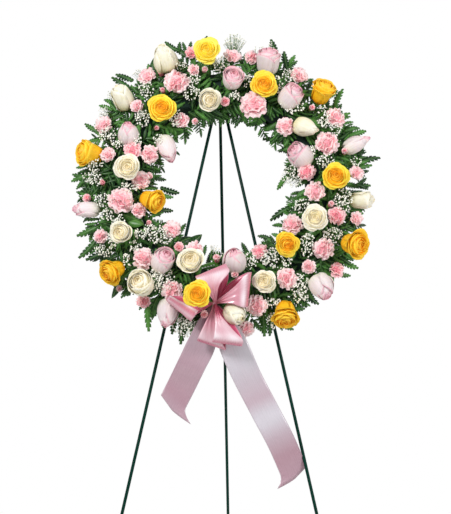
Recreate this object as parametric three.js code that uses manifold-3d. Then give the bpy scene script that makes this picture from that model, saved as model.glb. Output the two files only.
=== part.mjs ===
// A funeral wreath of roses on a folding wire easel with three legs.
// Millimetres, +Z up, front towards -Y. The object stands on Z = 0.

import * as THREE from 'three';
import { mergeVertices } from 'three/addons/utils/BufferGeometryUtils.js';
import Module from 'manifold-3d';

const wasm = await Module();
wasm.setup();

// ---- driving dimensions -------------------------------------------------------------------

const GAP = 0.3; // air left between pieces that touch

// easel
const LEG_LENGTH = 1524; // a 60 inch easel
const ROD_RADIUS = 4;
const LEAN = THREE.MathUtils.degToRad(12); // the front legs lean back by this
const SPREAD = THREE.MathUtils.degToRad(12.3); // each front leg from the middle, in their plane
const REAR_ANGLE = THREE.MathUtils.degToRad(17.3); // the rear leg from plumb
const REAR_SWAY = THREE.MathUtils.degToRad(1.1); // it leans a little to the right
const LEG_TOP = 20; // the front legs stop this far below the point where they would meet
const FOOT_DROP = 4; // the floor lies this far below the rods' ends
const CAP_RADIUS = 6.5;
const CAP_HEIGHT = 28;

// head bracket, hinge and top hook, in the leaning plane of the front legs
const PLATE = { halfWidth: 22, bottom: -60, top: 2, thickness: 3 };
const PLATE_FRONT = ROD_RADIUS + GAP;
const PLATE_BACK = PLATE_FRONT + PLATE.thickness;
const PIVOT = { y: 18, z: -12 };
const EAR = { inside: 5.5, thickness: 3, radius: 11 };
const BOSS = { radius: 9, halfWidth: 4.5, heelHalfDepth: 5 };
const BOLT_RADIUS = 3;
const BOLT_HOLE = 3.4;
const HOOK_RADIUS = 3;
const WIRE_RADIUS = 1.2;

// wreath, measured about the middle of the ring; its front faces -Y
const WREATH_SHIFT = 10;
const HANG_DROP = 285; // the ring's middle lies this far down the slope from the legs' meeting point
const RING_MIDDLE = 260; // middle radius of the 24 inch foam ring
const FOAM_HALF_WIDTH = 45;
const TRAY = { back: -14, wall: 2.5, rim: -32, inner: 209, outer: 311 };
const FOAM_FRONT = -72;
const PLANTED_DEPTH = -45; // the stems end here, inside the foam
const STEM_RADIUS = 3;
const CLEARANCE = 0.5; // room left around what is pushed into foam and leaves

// ribbon
const RIBBON_WIDTH = 70; // no. 40 ribbon
const RIBBON_THICKNESS = 1.2;
const BOW = { clock: 184, radius: 306, depth: 118 };

// ---- finishes -----------------------------------------------------------------------------

function finish(color, roughness, metalness = 0) {
  return new THREE.MeshStandardMaterial({ color, roughness, metalness });
}

const finishes = {
  enamel: finish('#0b4a3a', 0.3),
  zinc: finish('#a9adb0', 0.35, 0.9),
  vinyl: finish('#0d3d31', 0.6),
  wire: finish('#3c5a3c', 0.45, 0.4),
  tray: finish('#1f5238', 0.5),
  foam: finish('#3f6b4a', 0.95),
  leaf: finish('#24512a', 0.6),
  yellowPetal: finish('#f6c21c', 0.6),
  whitePetal: finish('#f2eedb', 0.6),
  pinkPetal: finish('#efd5de', 0.6),
  satin: finish('#e6a9ba', 0.35),
  wood: finish('#c9a878', 0.7),
};

// ---- helpers ------------------------------------------------------------------------------

const polar = (clock, radius, y) => {
  const angle = THREE.MathUtils.degToRad(clock);
  return new THREE.Vector3(radius * Math.sin(angle), y, radius * Math.cos(angle));
};

function toSolid(geometry) {
  const bare = geometry.clone();
  bare.deleteAttribute('normal');
  bare.deleteAttribute('uv');
  const merged = mergeVertices(bare, 1e-4);
  const mesh = new wasm.Mesh({
    numProp: 3,
    vertProperties: new Float32Array(merged.attributes.position.array),
    triVerts: new Uint32Array(merged.index.array),
  });
  return new wasm.Manifold(mesh);
}

function toGeometry(solid) {
  const mesh = solid.getMesh();
  const geometry = new THREE.BufferGeometry();
  geometry.setAttribute('position', new THREE.BufferAttribute(mesh.vertProperties, 3));
  geometry.setIndex(new THREE.BufferAttribute(mesh.triVerts, 1));
  geometry.computeVertexNormals();
  return geometry;
}

function cut(geometry, cutters) {
  let solid = toSolid(geometry);
  for (const cutter of cutters) solid = solid.subtract(toSolid(cutter));
  return toGeometry(solid);
}

function join(geometries) {
  return toGeometry(geometries.map(toSolid).reduce((whole, next) => whole.add(next)));
}

function box(low, high) {
  const size = new THREE.Vector3(...high).sub(new THREE.Vector3(...low));
  const middle = new THREE.Vector3(...low).add(new THREE.Vector3(...high)).divideScalar(2);
  return new THREE.BoxGeometry(size.x, size.y, size.z).translate(middle.x, middle.y, middle.z);
}

// A cylinder between two points, or a cone where the radii differ.
function rod(from, to, radius, sides = 12, endRadius = radius) {
  const along = to.clone().sub(from);
  const turn = new THREE.Quaternion().setFromUnitVectors(
    new THREE.Vector3(0, 1, 0), along.clone().normalize());
  const middle = from.clone().add(to).divideScalar(2);
  return new THREE.CylinderGeometry(endRadius, radius, along.length(), sides)
    .applyQuaternion(turn)
    .translate(middle.x, middle.y, middle.z);
}

// A cylinder lying along X, for bosses, bolts and their holes.
function crossBar(x0, x1, y, z, radius, sides = 24) {
  return rod(new THREE.Vector3(x0, y, z), new THREE.Vector3(x1, y, z), radius, sides);
}

// Round wire along a smooth line through hand-set points.
function wire(points, radius, steps, sides = 8) {
  const section = new THREE.Shape();
  for (let i = 0; i < sides; i += 1) {
    const angle = (2 * Math.PI * i) / sides;
    const [x, y] = [radius * Math.cos(angle), radius * Math.sin(angle)];
    if (i === 0) section.moveTo(x, y);
    else section.lineTo(x, y);
  }
  section.closePath();
  const line = new THREE.CatmullRomCurve3(points.map((p) => new THREE.Vector3(...p)));
  return new THREE.ExtrudeGeometry(section, { extrudePath: line, steps });
}

// A closed strip through stations that give its middle line, its direction across and its width.
function ribbon(stations) {
  const corners = [];
  stations.forEach(({ at, across, width }, i) => {
    const before = stations[Math.max(i - 1, 0)].at;
    const after = stations[Math.min(i + 1, stations.length - 1)].at;
    const side = across.clone().normalize();
    const face = side.clone().cross(after.clone().sub(before)).normalize();
    for (const [u, v] of [[-1, -1], [1, -1], [1, 1], [-1, 1]]) {
      corners.push(at.clone()
        .addScaledVector(side, (u * width) / 2)
        .addScaledVector(face, (v * RIBBON_THICKNESS) / 2));
    }
  });
  const index = [0, 1, 2, 0, 2, 3];
  for (let i = 0; i + 1 < stations.length; i += 1) {
    for (let k = 0; k < 4; k += 1) {
      const [a, b] = [4 * i + k, 4 * i + ((k + 1) % 4)];
      index.push(a, a + 4, b, b, a + 4, b + 4);
    }
  }
  const end = 4 * (stations.length - 1);
  index.push(end, end + 2, end + 1, end, end + 3, end + 2);
  return new THREE.BufferGeometry().setFromPoints(corners).setIndex(index);
}

function piece(parent, name, geometry, material) {
  const mesh = new THREE.Mesh(geometry, material);
  mesh.name = name;
  parent.add(mesh);
  return mesh;
}

// ---- groups -------------------------------------------------------------------------------

const wreathOnEasel = new THREE.Group(); // plumb, its origin where the front legs would meet
const leaning = new THREE.Group(); // the plane of the front legs
leaning.rotation.x = -LEAN;
const wreath = new THREE.Group(); // the middle of the ring, in the plane of the front legs
wreath.position.set(WREATH_SHIFT, 0, -HANG_DROP);
const bow = new THREE.Group(); // plumb again, at the knot of the bow
bow.position.copy(polar(BOW.clock, BOW.radius, -BOW.depth));
bow.rotation.x = LEAN;
wreathOnEasel.add(leaning);
leaning.add(wreath);
wreath.add(bow);

// ---- easel --------------------------------------------------------------------------------

const footHeight = -LEG_LENGTH * Math.cos(SPREAD) * Math.cos(LEAN);
const floorHeight = footHeight - FOOT_DROP;
const floorCutter = box([-500, -500, floorHeight - 60], [500, 600, floorHeight]);

// A vinyl cap pushed over a rod's end, its sole cut level.
function footCap(end, up) {
  const along = (distance) => end.clone().addScaledVector(up, distance);
  const outside = rod(along(-12), along(CAP_HEIGHT), CAP_RADIUS, 20, CAP_RADIUS - 0.8);
  const socket = rod(along(-GAP), along(CAP_HEIGHT + 5), ROD_RADIUS + GAP, 16);
  return cut(outside, [socket, floorCutter]);
}

for (const [side, sign] of [['left', -1], ['right', 1]]) {
  const down = new THREE.Vector3(
    sign * Math.sin(SPREAD),
    -Math.cos(SPREAD) * Math.sin(LEAN),
    -Math.cos(SPREAD) * Math.cos(LEAN));
  const top = down.clone().multiplyScalar(LEG_TOP / Math.cos(SPREAD));
  const end = down.clone().multiplyScalar(LEG_LENGTH);
  const up = down.clone().negate();
  piece(wreathOnEasel, `front_leg_${side}`, rod(end, top, ROD_RADIUS, 16), finishes.enamel);
  piece(wreathOnEasel, `foot_cap_${side}`, footCap(end, up), finishes.vinyl);
}

// The rear leg hangs from a bolt; the heel above its boss rests on the plate when it is open.
leaning.updateMatrix();
const pivot = new THREE.Vector3(0, PIVOT.y, PIVOT.z).applyMatrix4(leaning.matrix);
const rearDown = new THREE.Vector3(
  Math.tan(REAR_SWAY), Math.tan(REAR_ANGLE), -1).normalize();
const rearEnd = pivot.clone().addScaledVector(rearDown, (footHeight - pivot.z) / rearDown.z);
const opening = LEAN + REAR_ANGLE;
const heelHeight = (PIVOT.y - PLATE_BACK - GAP - BOSS.heelHalfDepth * Math.cos(opening))
  / Math.sin(opening);
const heel = box(
  [-BOSS.halfWidth, -BOSS.heelHalfDepth, 0],
  [BOSS.halfWidth, BOSS.heelHalfDepth, heelHeight])
  .rotateX(REAR_ANGLE)
  .translate(pivot.x, pivot.y, pivot.z);
const boss = crossBar(-BOSS.halfWidth, BOSS.halfWidth, pivot.y, pivot.z, BOSS.radius);
const rearRod = rod(
  rearEnd, pivot.clone().addScaledVector(rearDown, BOSS.radius / 2), ROD_RADIUS, 16);
const rearHole = crossBar(-20, 20, pivot.y, pivot.z, BOLT_HOLE);
piece(wreathOnEasel, 'rear_leg', cut(join([boss, heel, rearRod]), [rearHole]), finishes.enamel);
piece(wreathOnEasel, 'foot_cap_rear', footCap(rearEnd, rearDown.clone().negate()), finishes.vinyl);

// The bracket: a plate across the tops of the front legs with two ears for the bolt.
const plate = box(
  [-PLATE.halfWidth, PLATE_FRONT, PLATE.bottom],
  [PLATE.halfWidth, PLATE_BACK, PLATE.top]);
const ears = [-1, 1].flatMap((sign) => {
  const near = sign * EAR.inside;
  const far = sign * (EAR.inside + EAR.thickness);
  const [x0, x1] = [Math.min(near, far), Math.max(near, far)];
  return [
    box([x0, PLATE_BACK - 1, PIVOT.z - EAR.radius], [x1, PIVOT.y, PIVOT.z + EAR.radius]),
    crossBar(x0, x1, PIVOT.y, PIVOT.z, EAR.radius),
  ];
});
const boltHole = crossBar(-20, 20, PIVOT.y, PIVOT.z, BOLT_HOLE);
piece(leaning, 'head_bracket', cut(join([plate, ...ears]), [boltHole]), finishes.enamel);

const earFace = EAR.inside + EAR.thickness + GAP;
const boltHead = crossBar(earFace, earFace + 4, PIVOT.y, PIVOT.z, 5.8, 6);
const shank = crossBar(-earFace - 7, earFace + 1, PIVOT.y, PIVOT.z, BOLT_RADIUS, 16);
piece(leaning, 'hinge_bolt', join([boltHead, shank]), finishes.zinc);
const nutBody = crossBar(-earFace - 5, -earFace, PIVOT.y, PIVOT.z, 5.8, 6);
piece(leaning, 'hinge_nut', cut(nutBody, [boltHole]), finishes.zinc);

// The top hook stands on the plate's front and opens upwards, just behind the ring.
const hookPoints = [
  [0, 1, -14], [0, 1, 6], [0, 0.4, 13.5], [0, -3.5, 17.5], [0, -7.4, 21.5], [0, -8, 30],
];
const topHook = wire(hookPoints, HOOK_RADIUS, 14);
piece(leaning, 'top_hook', topHook, finishes.enamel);

// Two hooks on the front legs carry the ring's outer rim from below.
function restHookHeight(sign) {
  const reach = TRAY.outer + GAP + HOOK_RADIUS;
  const slope = sign * Math.tan(SPREAD);
  const a = 1 + slope * slope;
  const b = -(HANG_DROP + slope * WREATH_SHIFT);
  const c = HANG_DROP ** 2 + WREATH_SHIFT ** 2 - reach ** 2;
  return (-b + Math.sqrt(b * b - a * c)) / a;
}

const restHooks = [['left', -1], ['right', 1]].map(([side, sign]) => {
  const drop = restHookHeight(sign);
  const x = sign * drop * Math.tan(SPREAD);
  const start = -(ROD_RADIUS + GAP);
  const points = [
    [x, start, -drop], [x, -40, -drop], [x, -66, -drop], [x, -76, -drop + 5], [x, -79, -drop + 24],
  ];
  return { name: `rest_hook_${side}`, points };
});
for (const { name, points } of restHooks) {
  piece(leaning, name, wire(points, HOOK_RADIUS, 14), finishes.enamel);
}

// ---- roses --------------------------------------------------------------------------------

// Each row: place on the ring (clock degrees, radius, depth of the head's middle), the radius
// where its stem is planted, the lean clockwise in degrees, the head's radius, and how open it
// is, from 0 for a bud to 1.
const roses = {
  rose_yellow: [
    [353, 342, 122, 298, 0, 35, 0.9],
    [321, 246, 115, 252, 0, 37, 1.0],
    [284, 346, 82, 292, 0, 31, 0.6],
    [22, 272, 118, 266, 0, 32, 0.9],
    [46, 348, 92, 292, 2, 31, 0.6],
    [87, 278, 115, 272, 4, 33, 0.8],
    [257, 184, 100, 224, -6, 30, 0.6],
    [231, 348, 95, 294, -3, 33, 0.7],
    [135, 220, 115, 232, 2, 31, 0.8],
    [116, 356, 115, 298, 0, 35, 0.8],
    [192, 298, 168, 284, 0, 35, 1.0],
    [155, 358, 90, 296, -3, 34, 0.6],
  ],
  rose_white: [
    [336, 366, 88, 296, -4, 28, 0.1],
    [312, 344, 88, 290, -3, 27, 0.2],
    [350, 222, 105, 236, 5, 27, 0.4],
    [279, 242, 118, 248, 0, 35, 0.9],
    [55, 254, 105, 252, 9, 25, 0.2],
    [96, 348, 78, 290, 0, 23, 0.0],
    [112, 244, 118, 250, 0, 35, 0.9],
    [243, 280, 112, 268, -3, 28, 0.6],
    [218, 326, 118, 290, 0, 35, 0.9],
    [201, 218, 118, 232, 0, 35, 0.8],
    [158, 270, 115, 262, 5, 30, 0.6],
    [175, 334, 122, 292, 0, 26, 0.5],
  ],
  rose_pink: [
    [5, 272, 112, 258, 0, 26, 0.3],
    [19, 348, 80, 290, -3, 29, 0.1],
    [37, 284, 108, 264, 0, 30, 0.4],
    [72, 352, 85, 294, -4, 25, 0.1],
    [68, 204, 98, 232, -8, 30, 0.2],
    [299, 274, 100, 260, 8, 26, 0.1],
    [304, 170, 82, 222, 3, 25, 0.1],
    [260, 348, 78, 290, 0, 23, 0.0],
    [217, 246, 112, 252, 0, 30, 0.5],
    [172, 196, 108, 230, 0, 29, 0.1],
    [203, 352, 86, 294, 3, 28, 0.1],
    [137, 356, 95, 296, 4, 31, 0.3],
  ],
};
const petalFinish = {
  rose_yellow: finishes.yellowPetal,
  rose_white: finishes.whitePetal,
  rose_pink: finishes.pinkPetal,
};

// The outline of a head: fractions of its height and of its radius, from the stem to the top.
const headOutline = [[0.0, 0.2], [0.14, 0.68], [0.42, 1.0], [0.76, 0.9], [0.95, 0.5]];
const ROSE_SIDES = 8;

// What is cut away around a rose: six-sided, and just outside the rose all round.
const bayOutline = [[0.0, 0.36], [0.2, 1.0], [0.9, 1.0]];
const BAY_SIDES = 6;

function placeRose([clock, radius, depth, plantedAt, swing, size, bloom]) {
  const planted = polar(clock - swing, plantedAt, PLANTED_DEPTH);
  const middle = polar(clock, radius, -depth);
  const height = size * (2.6 - bloom);
  const axis = middle.clone().sub(planted).normalize();
  const base = middle.distanceTo(planted) - height / 2;
  return { planted, axis, base, height, size };
}

// A body turned about a rose's stem, from [distance along it, radius] pairs.
function turnedOnStem({ planted, axis }, outline, sides) {
  const profile = outline.map(([along, out]) => new THREE.Vector2(out, along));
  const turn = new THREE.Quaternion().setFromUnitVectors(new THREE.Vector3(0, 1, 0), axis);
  return new THREE.LatheGeometry(profile, sides)
    .applyQuaternion(turn)
    .translate(planted.x, planted.y, planted.z);
}

function roseGeometry(row) {
  const rose = placeRose(row);
  const { base, height, size } = rose;
  return turnedOnStem(rose, [
    [0, 0],
    [0, STEM_RADIUS],
    [base, STEM_RADIUS],
    ...headOutline.map(([up, out]) => [base + up * height, size * out]),
    [base + height, 0],
  ], ROSE_SIDES);
}

function roseBay(row) {
  const rose = placeRose(row);
  const { base, height, size } = rose;
  const wider = 1 / Math.cos(Math.PI / BAY_SIDES);
  return turnedOnStem(rose, [
    [-CLEARANCE, 0],
    [-CLEARANCE, STEM_RADIUS * wider + CLEARANCE],
    [base - 1, STEM_RADIUS * wider + CLEARANCE],
    ...bayOutline.map(([up, out]) => [base + up * height - 1, size * out * wider + CLEARANCE]),
    [base + height + 1, 0],
  ], BAY_SIDES);
}

const roseBays = [];
for (const [kind, rows] of Object.entries(roses)) {
  rows.forEach((row, i) => {
    const name = `${kind}_${String(i + 1).padStart(2, '0')}`;
    piece(wreath, name, roseGeometry(row), petalFinish[kind]);
    roseBays.push(roseBay(row));
  });
}

// ---- ring, tray, hanging wire and greenery --------------------------------------------------

const RING_SIDES = 36;

// A ring turned about Y from a closed outline of radius and depth.
function turnedRing(outline, sides) {
  const points = [...outline, outline[0]].map(([r, y]) => new THREE.Vector2(r, y));
  return new THREE.LatheGeometry(points, sides);
}

const hangingWirePoints = [
  [-38, -44, 263], [-38, -20, 263], [-35, -9.5, 268], [-22, -5, 292], [-10, -3.6, 306],
  [0, -3.5, 308.3],
  [10, -3.6, 306], [22, -5, 292], [35, -9.5, 268], [38, -20, 263], [38, -44, 263],
].map(([x, y, z]) => [x - WREATH_SHIFT, y, z]);
const hangingWire = wire(hangingWirePoints, WIRE_RADIUS, 36, 6);
const wireClearance = wire(hangingWirePoints, WIRE_RADIUS + CLEARANCE, 36, 6);
piece(wreath, 'hanging_wire', hangingWire, finishes.wire);

const trayOutline = [
  [TRAY.inner, TRAY.back],
  [TRAY.inner, TRAY.rim],
  [TRAY.inner + TRAY.wall, TRAY.rim],
  [TRAY.inner + TRAY.wall, TRAY.back - TRAY.wall],
  [TRAY.outer - TRAY.wall, TRAY.back - TRAY.wall],
  [TRAY.outer - TRAY.wall, TRAY.rim],
  [TRAY.outer, TRAY.rim],
  [TRAY.outer, TRAY.back],
];
piece(wreath, 'ring_tray', cut(turnedRing(trayOutline, RING_SIDES), [wireClearance]),
  finishes.tray);

const foamIn = RING_MIDDLE - FOAM_HALF_WIDTH;
const foamOut = RING_MIDDLE + FOAM_HALF_WIDTH;
const foamBack = TRAY.back - TRAY.wall - CLEARANCE;
const foamOutline = [
  [foamIn, foamBack],
  [foamIn, FOAM_FRONT + 18],
  [foamIn + 14, FOAM_FRONT + 5],
  [RING_MIDDLE, FOAM_FRONT],
  [foamOut - 14, FOAM_FRONT + 5],
  [foamOut, FOAM_FRONT + 18],
  [foamOut, foamBack],
];

// The wooden pick that holds the bow in the foam.
const knot = polar(BOW.clock, BOW.radius, -BOW.depth);
const pickEnd = polar(BOW.clock - 2, foamOut - 24, PLANTED_DEPTH + 6);
const pickTop = knot.clone().lerp(pickEnd, 0.24);
const pickPoint = rod(pickTop, pickEnd, 2, 8, 0.8);
piece(wreath, 'bow_pick', pickPoint, finishes.wood);
const pickClearance = rod(
  knot, pickEnd.clone().add(new THREE.Vector3(0, CLEARANCE, 0)), 2 + CLEARANCE, 8, 1.4);

piece(wreath, 'foam_ring',
  cut(turnedRing(foamOutline, RING_SIDES), [...roseBays, wireClearance, pickClearance]),
  finishes.foam);

// The bed of fern and filler: an uneven ring that covers the foam and reaches past it.
const bedOutline = [
  [158, -22], [146, -42], [176, -68], [215, -82], [262, -87], [318, -76], [348, -50], [376, -37],
  [352, -22],
];
const wave = (angle, count, shift) => Math.sin(count * angle + shift);
function leafyEdge(angle) {
  return 7 * wave(angle, 5, 0.4) + 6 * wave(angle, 11, 2.1) + 4 * wave(angle, 19, 1.0);
}

function bedGeometry() {
  const geometry = turnedRing(bedOutline, 60);
  const position = geometry.attributes.position;
  for (let i = 0; i < position.count; i += 1) {
    const [x, y, z] = [position.getX(i), position.getY(i), position.getZ(i)];
    const radius = Math.hypot(x, z);
    const angle = Math.atan2(x, z);
    const share = (radius - RING_MIDDLE) / 116; // -1 at the inner edge, 1 at the outer
    const moved = radius + share * leafyEdge(angle);
    position.setXYZ(i, moved * Math.sin(angle), y, moved * Math.cos(angle));
  }
  return geometry;
}

const ringBay = turnedRing([
  [TRAY.inner - CLEARANCE, 0],
  [TRAY.inner - CLEARANCE, FOAM_FRONT + 17],
  [foamIn + 14, FOAM_FRONT + 4],
  [RING_MIDDLE, FOAM_FRONT - CLEARANCE],
  [foamOut - 14, FOAM_FRONT + 4],
  [TRAY.outer + CLEARANCE, FOAM_FRONT + 17],
  [TRAY.outer + CLEARANCE, 0],
], RING_SIDES);
const restHookBays = restHooks.map(({ points }) => wire(
  points.map(([x, y, z]) => [x - WREATH_SHIFT, y, z + HANG_DROP]), HOOK_RADIUS + CLEARANCE, 14));
const tipBays = restHooks.map(({ points }) => {
  const [x, y, z] = points[points.length - 1];
  const tip = new THREE.Vector3(x - WREATH_SHIFT, y, z + HANG_DROP);
  return rod(tip.clone().add(new THREE.Vector3(0, 0, -4)), tip.clone().add(
    new THREE.Vector3(0, 0, 3)), HOOK_RADIUS + 1, 12);
});
piece(wreath, 'greenery',
  cut(bedGeometry(), [
    ringBay, ...restHookBays, ...tipBays, ...roseBays, wireClearance, pickClearance,
  ]),
  finishes.leaf);

// ---- bow ----------------------------------------------------------------------------------

// Each loop is a flattened pouch: its length direction from the knot in the picture plane
// (degrees from straight up, clockwise), how far it reaches, its width and its thickness.
const loops = [
  { turn: -6, reach: 98, width: 74, thick: 44 },
  { turn: 48, reach: 112, width: 66, thick: 46 },
  { turn: -96, reach: 116, width: 44, thick: 34 },
  { turn: 200, reach: 112, width: 58, thick: 36 },
  { turn: 155, reach: 112, width: 64, thick: 42 },
];
const knotRadius = 11;
const loopBodies = loops.map(({ turn, reach, width, thick }) => {
  const start = 8;
  const body = new THREE.SphereGeometry(1, 12, 7)
    .scale(width / 2, thick / 2, (reach - start) / 2)
    .translate(0, 0, (reach + start) / 2)
    .rotateY(THREE.MathUtils.degToRad(turn));
  return body;
});
const knotBody = new THREE.SphereGeometry(1, 10, 7).scale(knotRadius, 16, knotRadius);
const knotHub = new THREE.SphereGeometry(1, 10, 6).scale(20, 8, 20);
bow.updateMatrix();
const intoBow = bow.matrix.clone().invert();
const rosesByBow = roseBays.map((g) => g.clone().applyMatrix4(intoBow));
const pickByBow = pickPoint.clone().applyMatrix4(intoBow);
const knotBay = new THREE.SphereGeometry(1, 10, 7)
  .scale(knotRadius + CLEARANCE, 30, knotRadius + CLEARANCE);
piece(bow, 'bow_loops',
  cut(join([knotHub, ...loopBodies]), [...rosesByBow, knotBay]), finishes.satin);
piece(bow, 'bow_knot', cut(knotBody, [pickByBow]), finishes.satin);

// The tails hang from the knot; points are to the right, towards the back and up from it.
function tail(rows) {
  return ribbon(rows.map(([x, y, z, width, slope, twist]) => ({
    at: new THREE.Vector3(x, y, z),
    across: new THREE.Vector3(1, twist, slope),
    width,
  })));
}

const leftTail = tail([
  [-8, 26, -22, 34, -0.4, 0],
  [-18, 27, -56, 58, -0.4, 0],
  [-33, 24, -100, RIBBON_WIDTH, -0.4, 0],
  [-54, 22, -152, RIBBON_WIDTH, -0.4, 0.05],
  [-76, 26, -208, RIBBON_WIDTH, -0.4, 0.12],
  [-98, 32, -262, RIBBON_WIDTH, -0.4, 0.2],
]);
const rightTail = tail([
  [10, 24, -22, 34, 0.42, 0],
  [24, 25, -56, 58, 0.42, 0],
  [45, 22, -104, RIBBON_WIDTH, 0.42, 0],
  [81, 14, -186, RIBBON_WIDTH, 0.42, 0.1],
  [117, 10, -268, RIBBON_WIDTH, 0.42, 0.16],
  [154, 16, -350, RIBBON_WIDTH, 0.42, 0.24],
  [186, 28, -424, RIBBON_WIDTH - 6, 0.42, 0.3],
]);
piece(bow, 'ribbon_tail_left', leftTail, finishes.satin);
piece(bow, 'ribbon_tail_right', rightTail, finishes.satin);

// ---- place the whole on the floor, centred ----------------------------------------------------

const extent = new THREE.Box3().setFromObject(wreathOnEasel, true);
const centre = extent.getCenter(new THREE.Vector3());
wreathOnEasel.position.set(-centre.x, -centre.y, -extent.min.z);

const part = new THREE.Group();
part.add(wreathOnEasel);

export default part;
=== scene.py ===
import math
import random

import bpy
import numpy as np
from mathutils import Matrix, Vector


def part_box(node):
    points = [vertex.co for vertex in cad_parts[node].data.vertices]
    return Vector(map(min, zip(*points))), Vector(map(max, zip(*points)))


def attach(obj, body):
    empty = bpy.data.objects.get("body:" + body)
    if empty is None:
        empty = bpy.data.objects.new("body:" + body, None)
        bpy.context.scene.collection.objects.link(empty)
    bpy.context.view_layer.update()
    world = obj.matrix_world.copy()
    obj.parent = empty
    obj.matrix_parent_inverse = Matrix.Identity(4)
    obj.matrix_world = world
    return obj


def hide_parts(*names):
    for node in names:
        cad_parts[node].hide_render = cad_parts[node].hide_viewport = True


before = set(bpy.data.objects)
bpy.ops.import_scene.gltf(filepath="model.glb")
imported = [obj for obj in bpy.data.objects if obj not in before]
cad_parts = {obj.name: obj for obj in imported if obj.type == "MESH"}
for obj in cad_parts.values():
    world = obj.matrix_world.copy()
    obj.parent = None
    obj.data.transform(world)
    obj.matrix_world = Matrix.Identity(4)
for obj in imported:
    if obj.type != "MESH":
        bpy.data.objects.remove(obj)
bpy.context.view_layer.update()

MM = 0.001


def clamp(value, low=0.0, high=1.0):
    return min(max(value, low), high)


def blend(low, high, share):
    return low + (high - low) * share


# ---- places on the wreath -----------------------------------------------------------------
# The wreath leans back with the front legs. Places on it are a clock angle in degrees, a
# distance from the ring's middle and a distance out of its face, all in millimetres.

LEAN = math.radians(12)
ACROSS = Vector((1, 0, 0))
UPHILL = Vector((0, math.sin(LEAN), math.cos(LEAN)))
FORWARD = Vector((0, -math.cos(LEAN), math.sin(LEAN)))
TRAY_BACK = 14 * MM  # the tray's back lies this far in front of the legs' plane


def cad_points(node):
    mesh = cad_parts[node].data
    flat = np.empty(len(mesh.vertices) * 3)
    mesh.vertices.foreach_get("co", flat)
    return flat.reshape(-1, 3)


def ring_middle():
    tray = cad_points("ring_tray")
    across, up = ((tray @ np.array(axis)) for axis in (ACROSS, UPHILL))
    back = (tray @ np.array(FORWARD)).min()
    return (ACROSS * (across.min() + across.max()) / 2 + UPHILL * (up.min() + up.max()) / 2
            + FORWARD * (back - TRAY_BACK))


RING = ring_middle()


def outwards(clock):
    """The direction from the ring's middle at a clock angle."""
    turn = math.radians(clock)
    return ACROSS * math.sin(turn) + UPHILL * math.cos(turn)


def on_wreath(clock, radius, forward):
    return RING + outwards(clock) * radius * MM + FORWARD * forward * MM


BED = ((140, 36), (176, 66), (215, 80), (262, 85), (318, 74), (348, 52), (380, 36), (430, 30))


def bed_height(radius):
    """How far the leaves stand out of the ring's plane."""
    return float(np.interp(radius, [r for r, _ in BED], [h for _, h in BED]))


# ---- camera and studio --------------------------------------------------------------------

def add_camera():
    data = bpy.data.cameras.new("studio_camera")
    data.sensor_fit = "VERTICAL"
    data.sensor_height = 36
    data.lens = 100.9
    camera = bpy.data.objects.new("studio_camera", data)
    camera.location = (-0.0026, -3.8255, 1.0205)
    camera.rotation_euler = (math.radians(90), 0, 0)
    bpy.context.collection.objects.link(camera)
    bpy.context.scene.camera = camera


def add_softbox(name, place, aim, size, power):
    data = bpy.data.lights.new(name, "AREA")
    data.shape = "DISK"
    data.size = size
    data.energy = power
    lamp = bpy.data.objects.new(name, data)
    lamp.location = place
    lamp.rotation_euler = (Vector(aim) - Vector(place)).to_track_quat("-Z", "Y").to_euler()
    bpy.context.collection.objects.link(lamp)


def add_world():
    world = bpy.data.worlds.new("white_studio")
    world.use_nodes = True
    tree = world.node_tree
    surround = tree.nodes["Background"]
    surround.inputs["Color"].default_value = (1, 1, 1, 1)
    seen = tree.nodes.new("ShaderNodeLightPath").outputs["Is Camera Ray"]
    strength = tree.nodes.new("ShaderNodeMapRange")
    tree.links.new(seen, strength.inputs["Value"])
    strength.inputs["To Min"].default_value = 0.42  # what lights the flowers
    strength.inputs["To Max"].default_value = 1.0  # what is seen behind them
    tree.links.new(strength.outputs["Result"], surround.inputs["Strength"])
    bpy.context.scene.world = world
    bpy.context.scene.view_settings.view_transform = "Standard"


add_camera()
add_world()
# each lamp's place, what it is aimed at, how wide it is and its power
for lamp in (("key_light", (-1.9, -2.9, 3.1), (0, -0.1, 1.1), 1.1, 98),
             ("side_light", (2.6, -2.2, 1.7), (0, -0.1, 1.0), 1.2, 46),
             ("back_light", (0.6, 2.8, 2.6), (0, 0, 1.0), 2.0, 30)):
    add_softbox(*lamp)


# ---- finishes -----------------------------------------------------------------------------

def shade(red, green, blue):
    """A colour given in the usual 0 to 255 steps."""
    def linear(step):
        part = step / 255
        return part / 12.92 if part <= 0.04045 else ((part + 0.055) / 1.055) ** 2.4
    return (linear(red), linear(green), linear(blue), 1)


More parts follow.
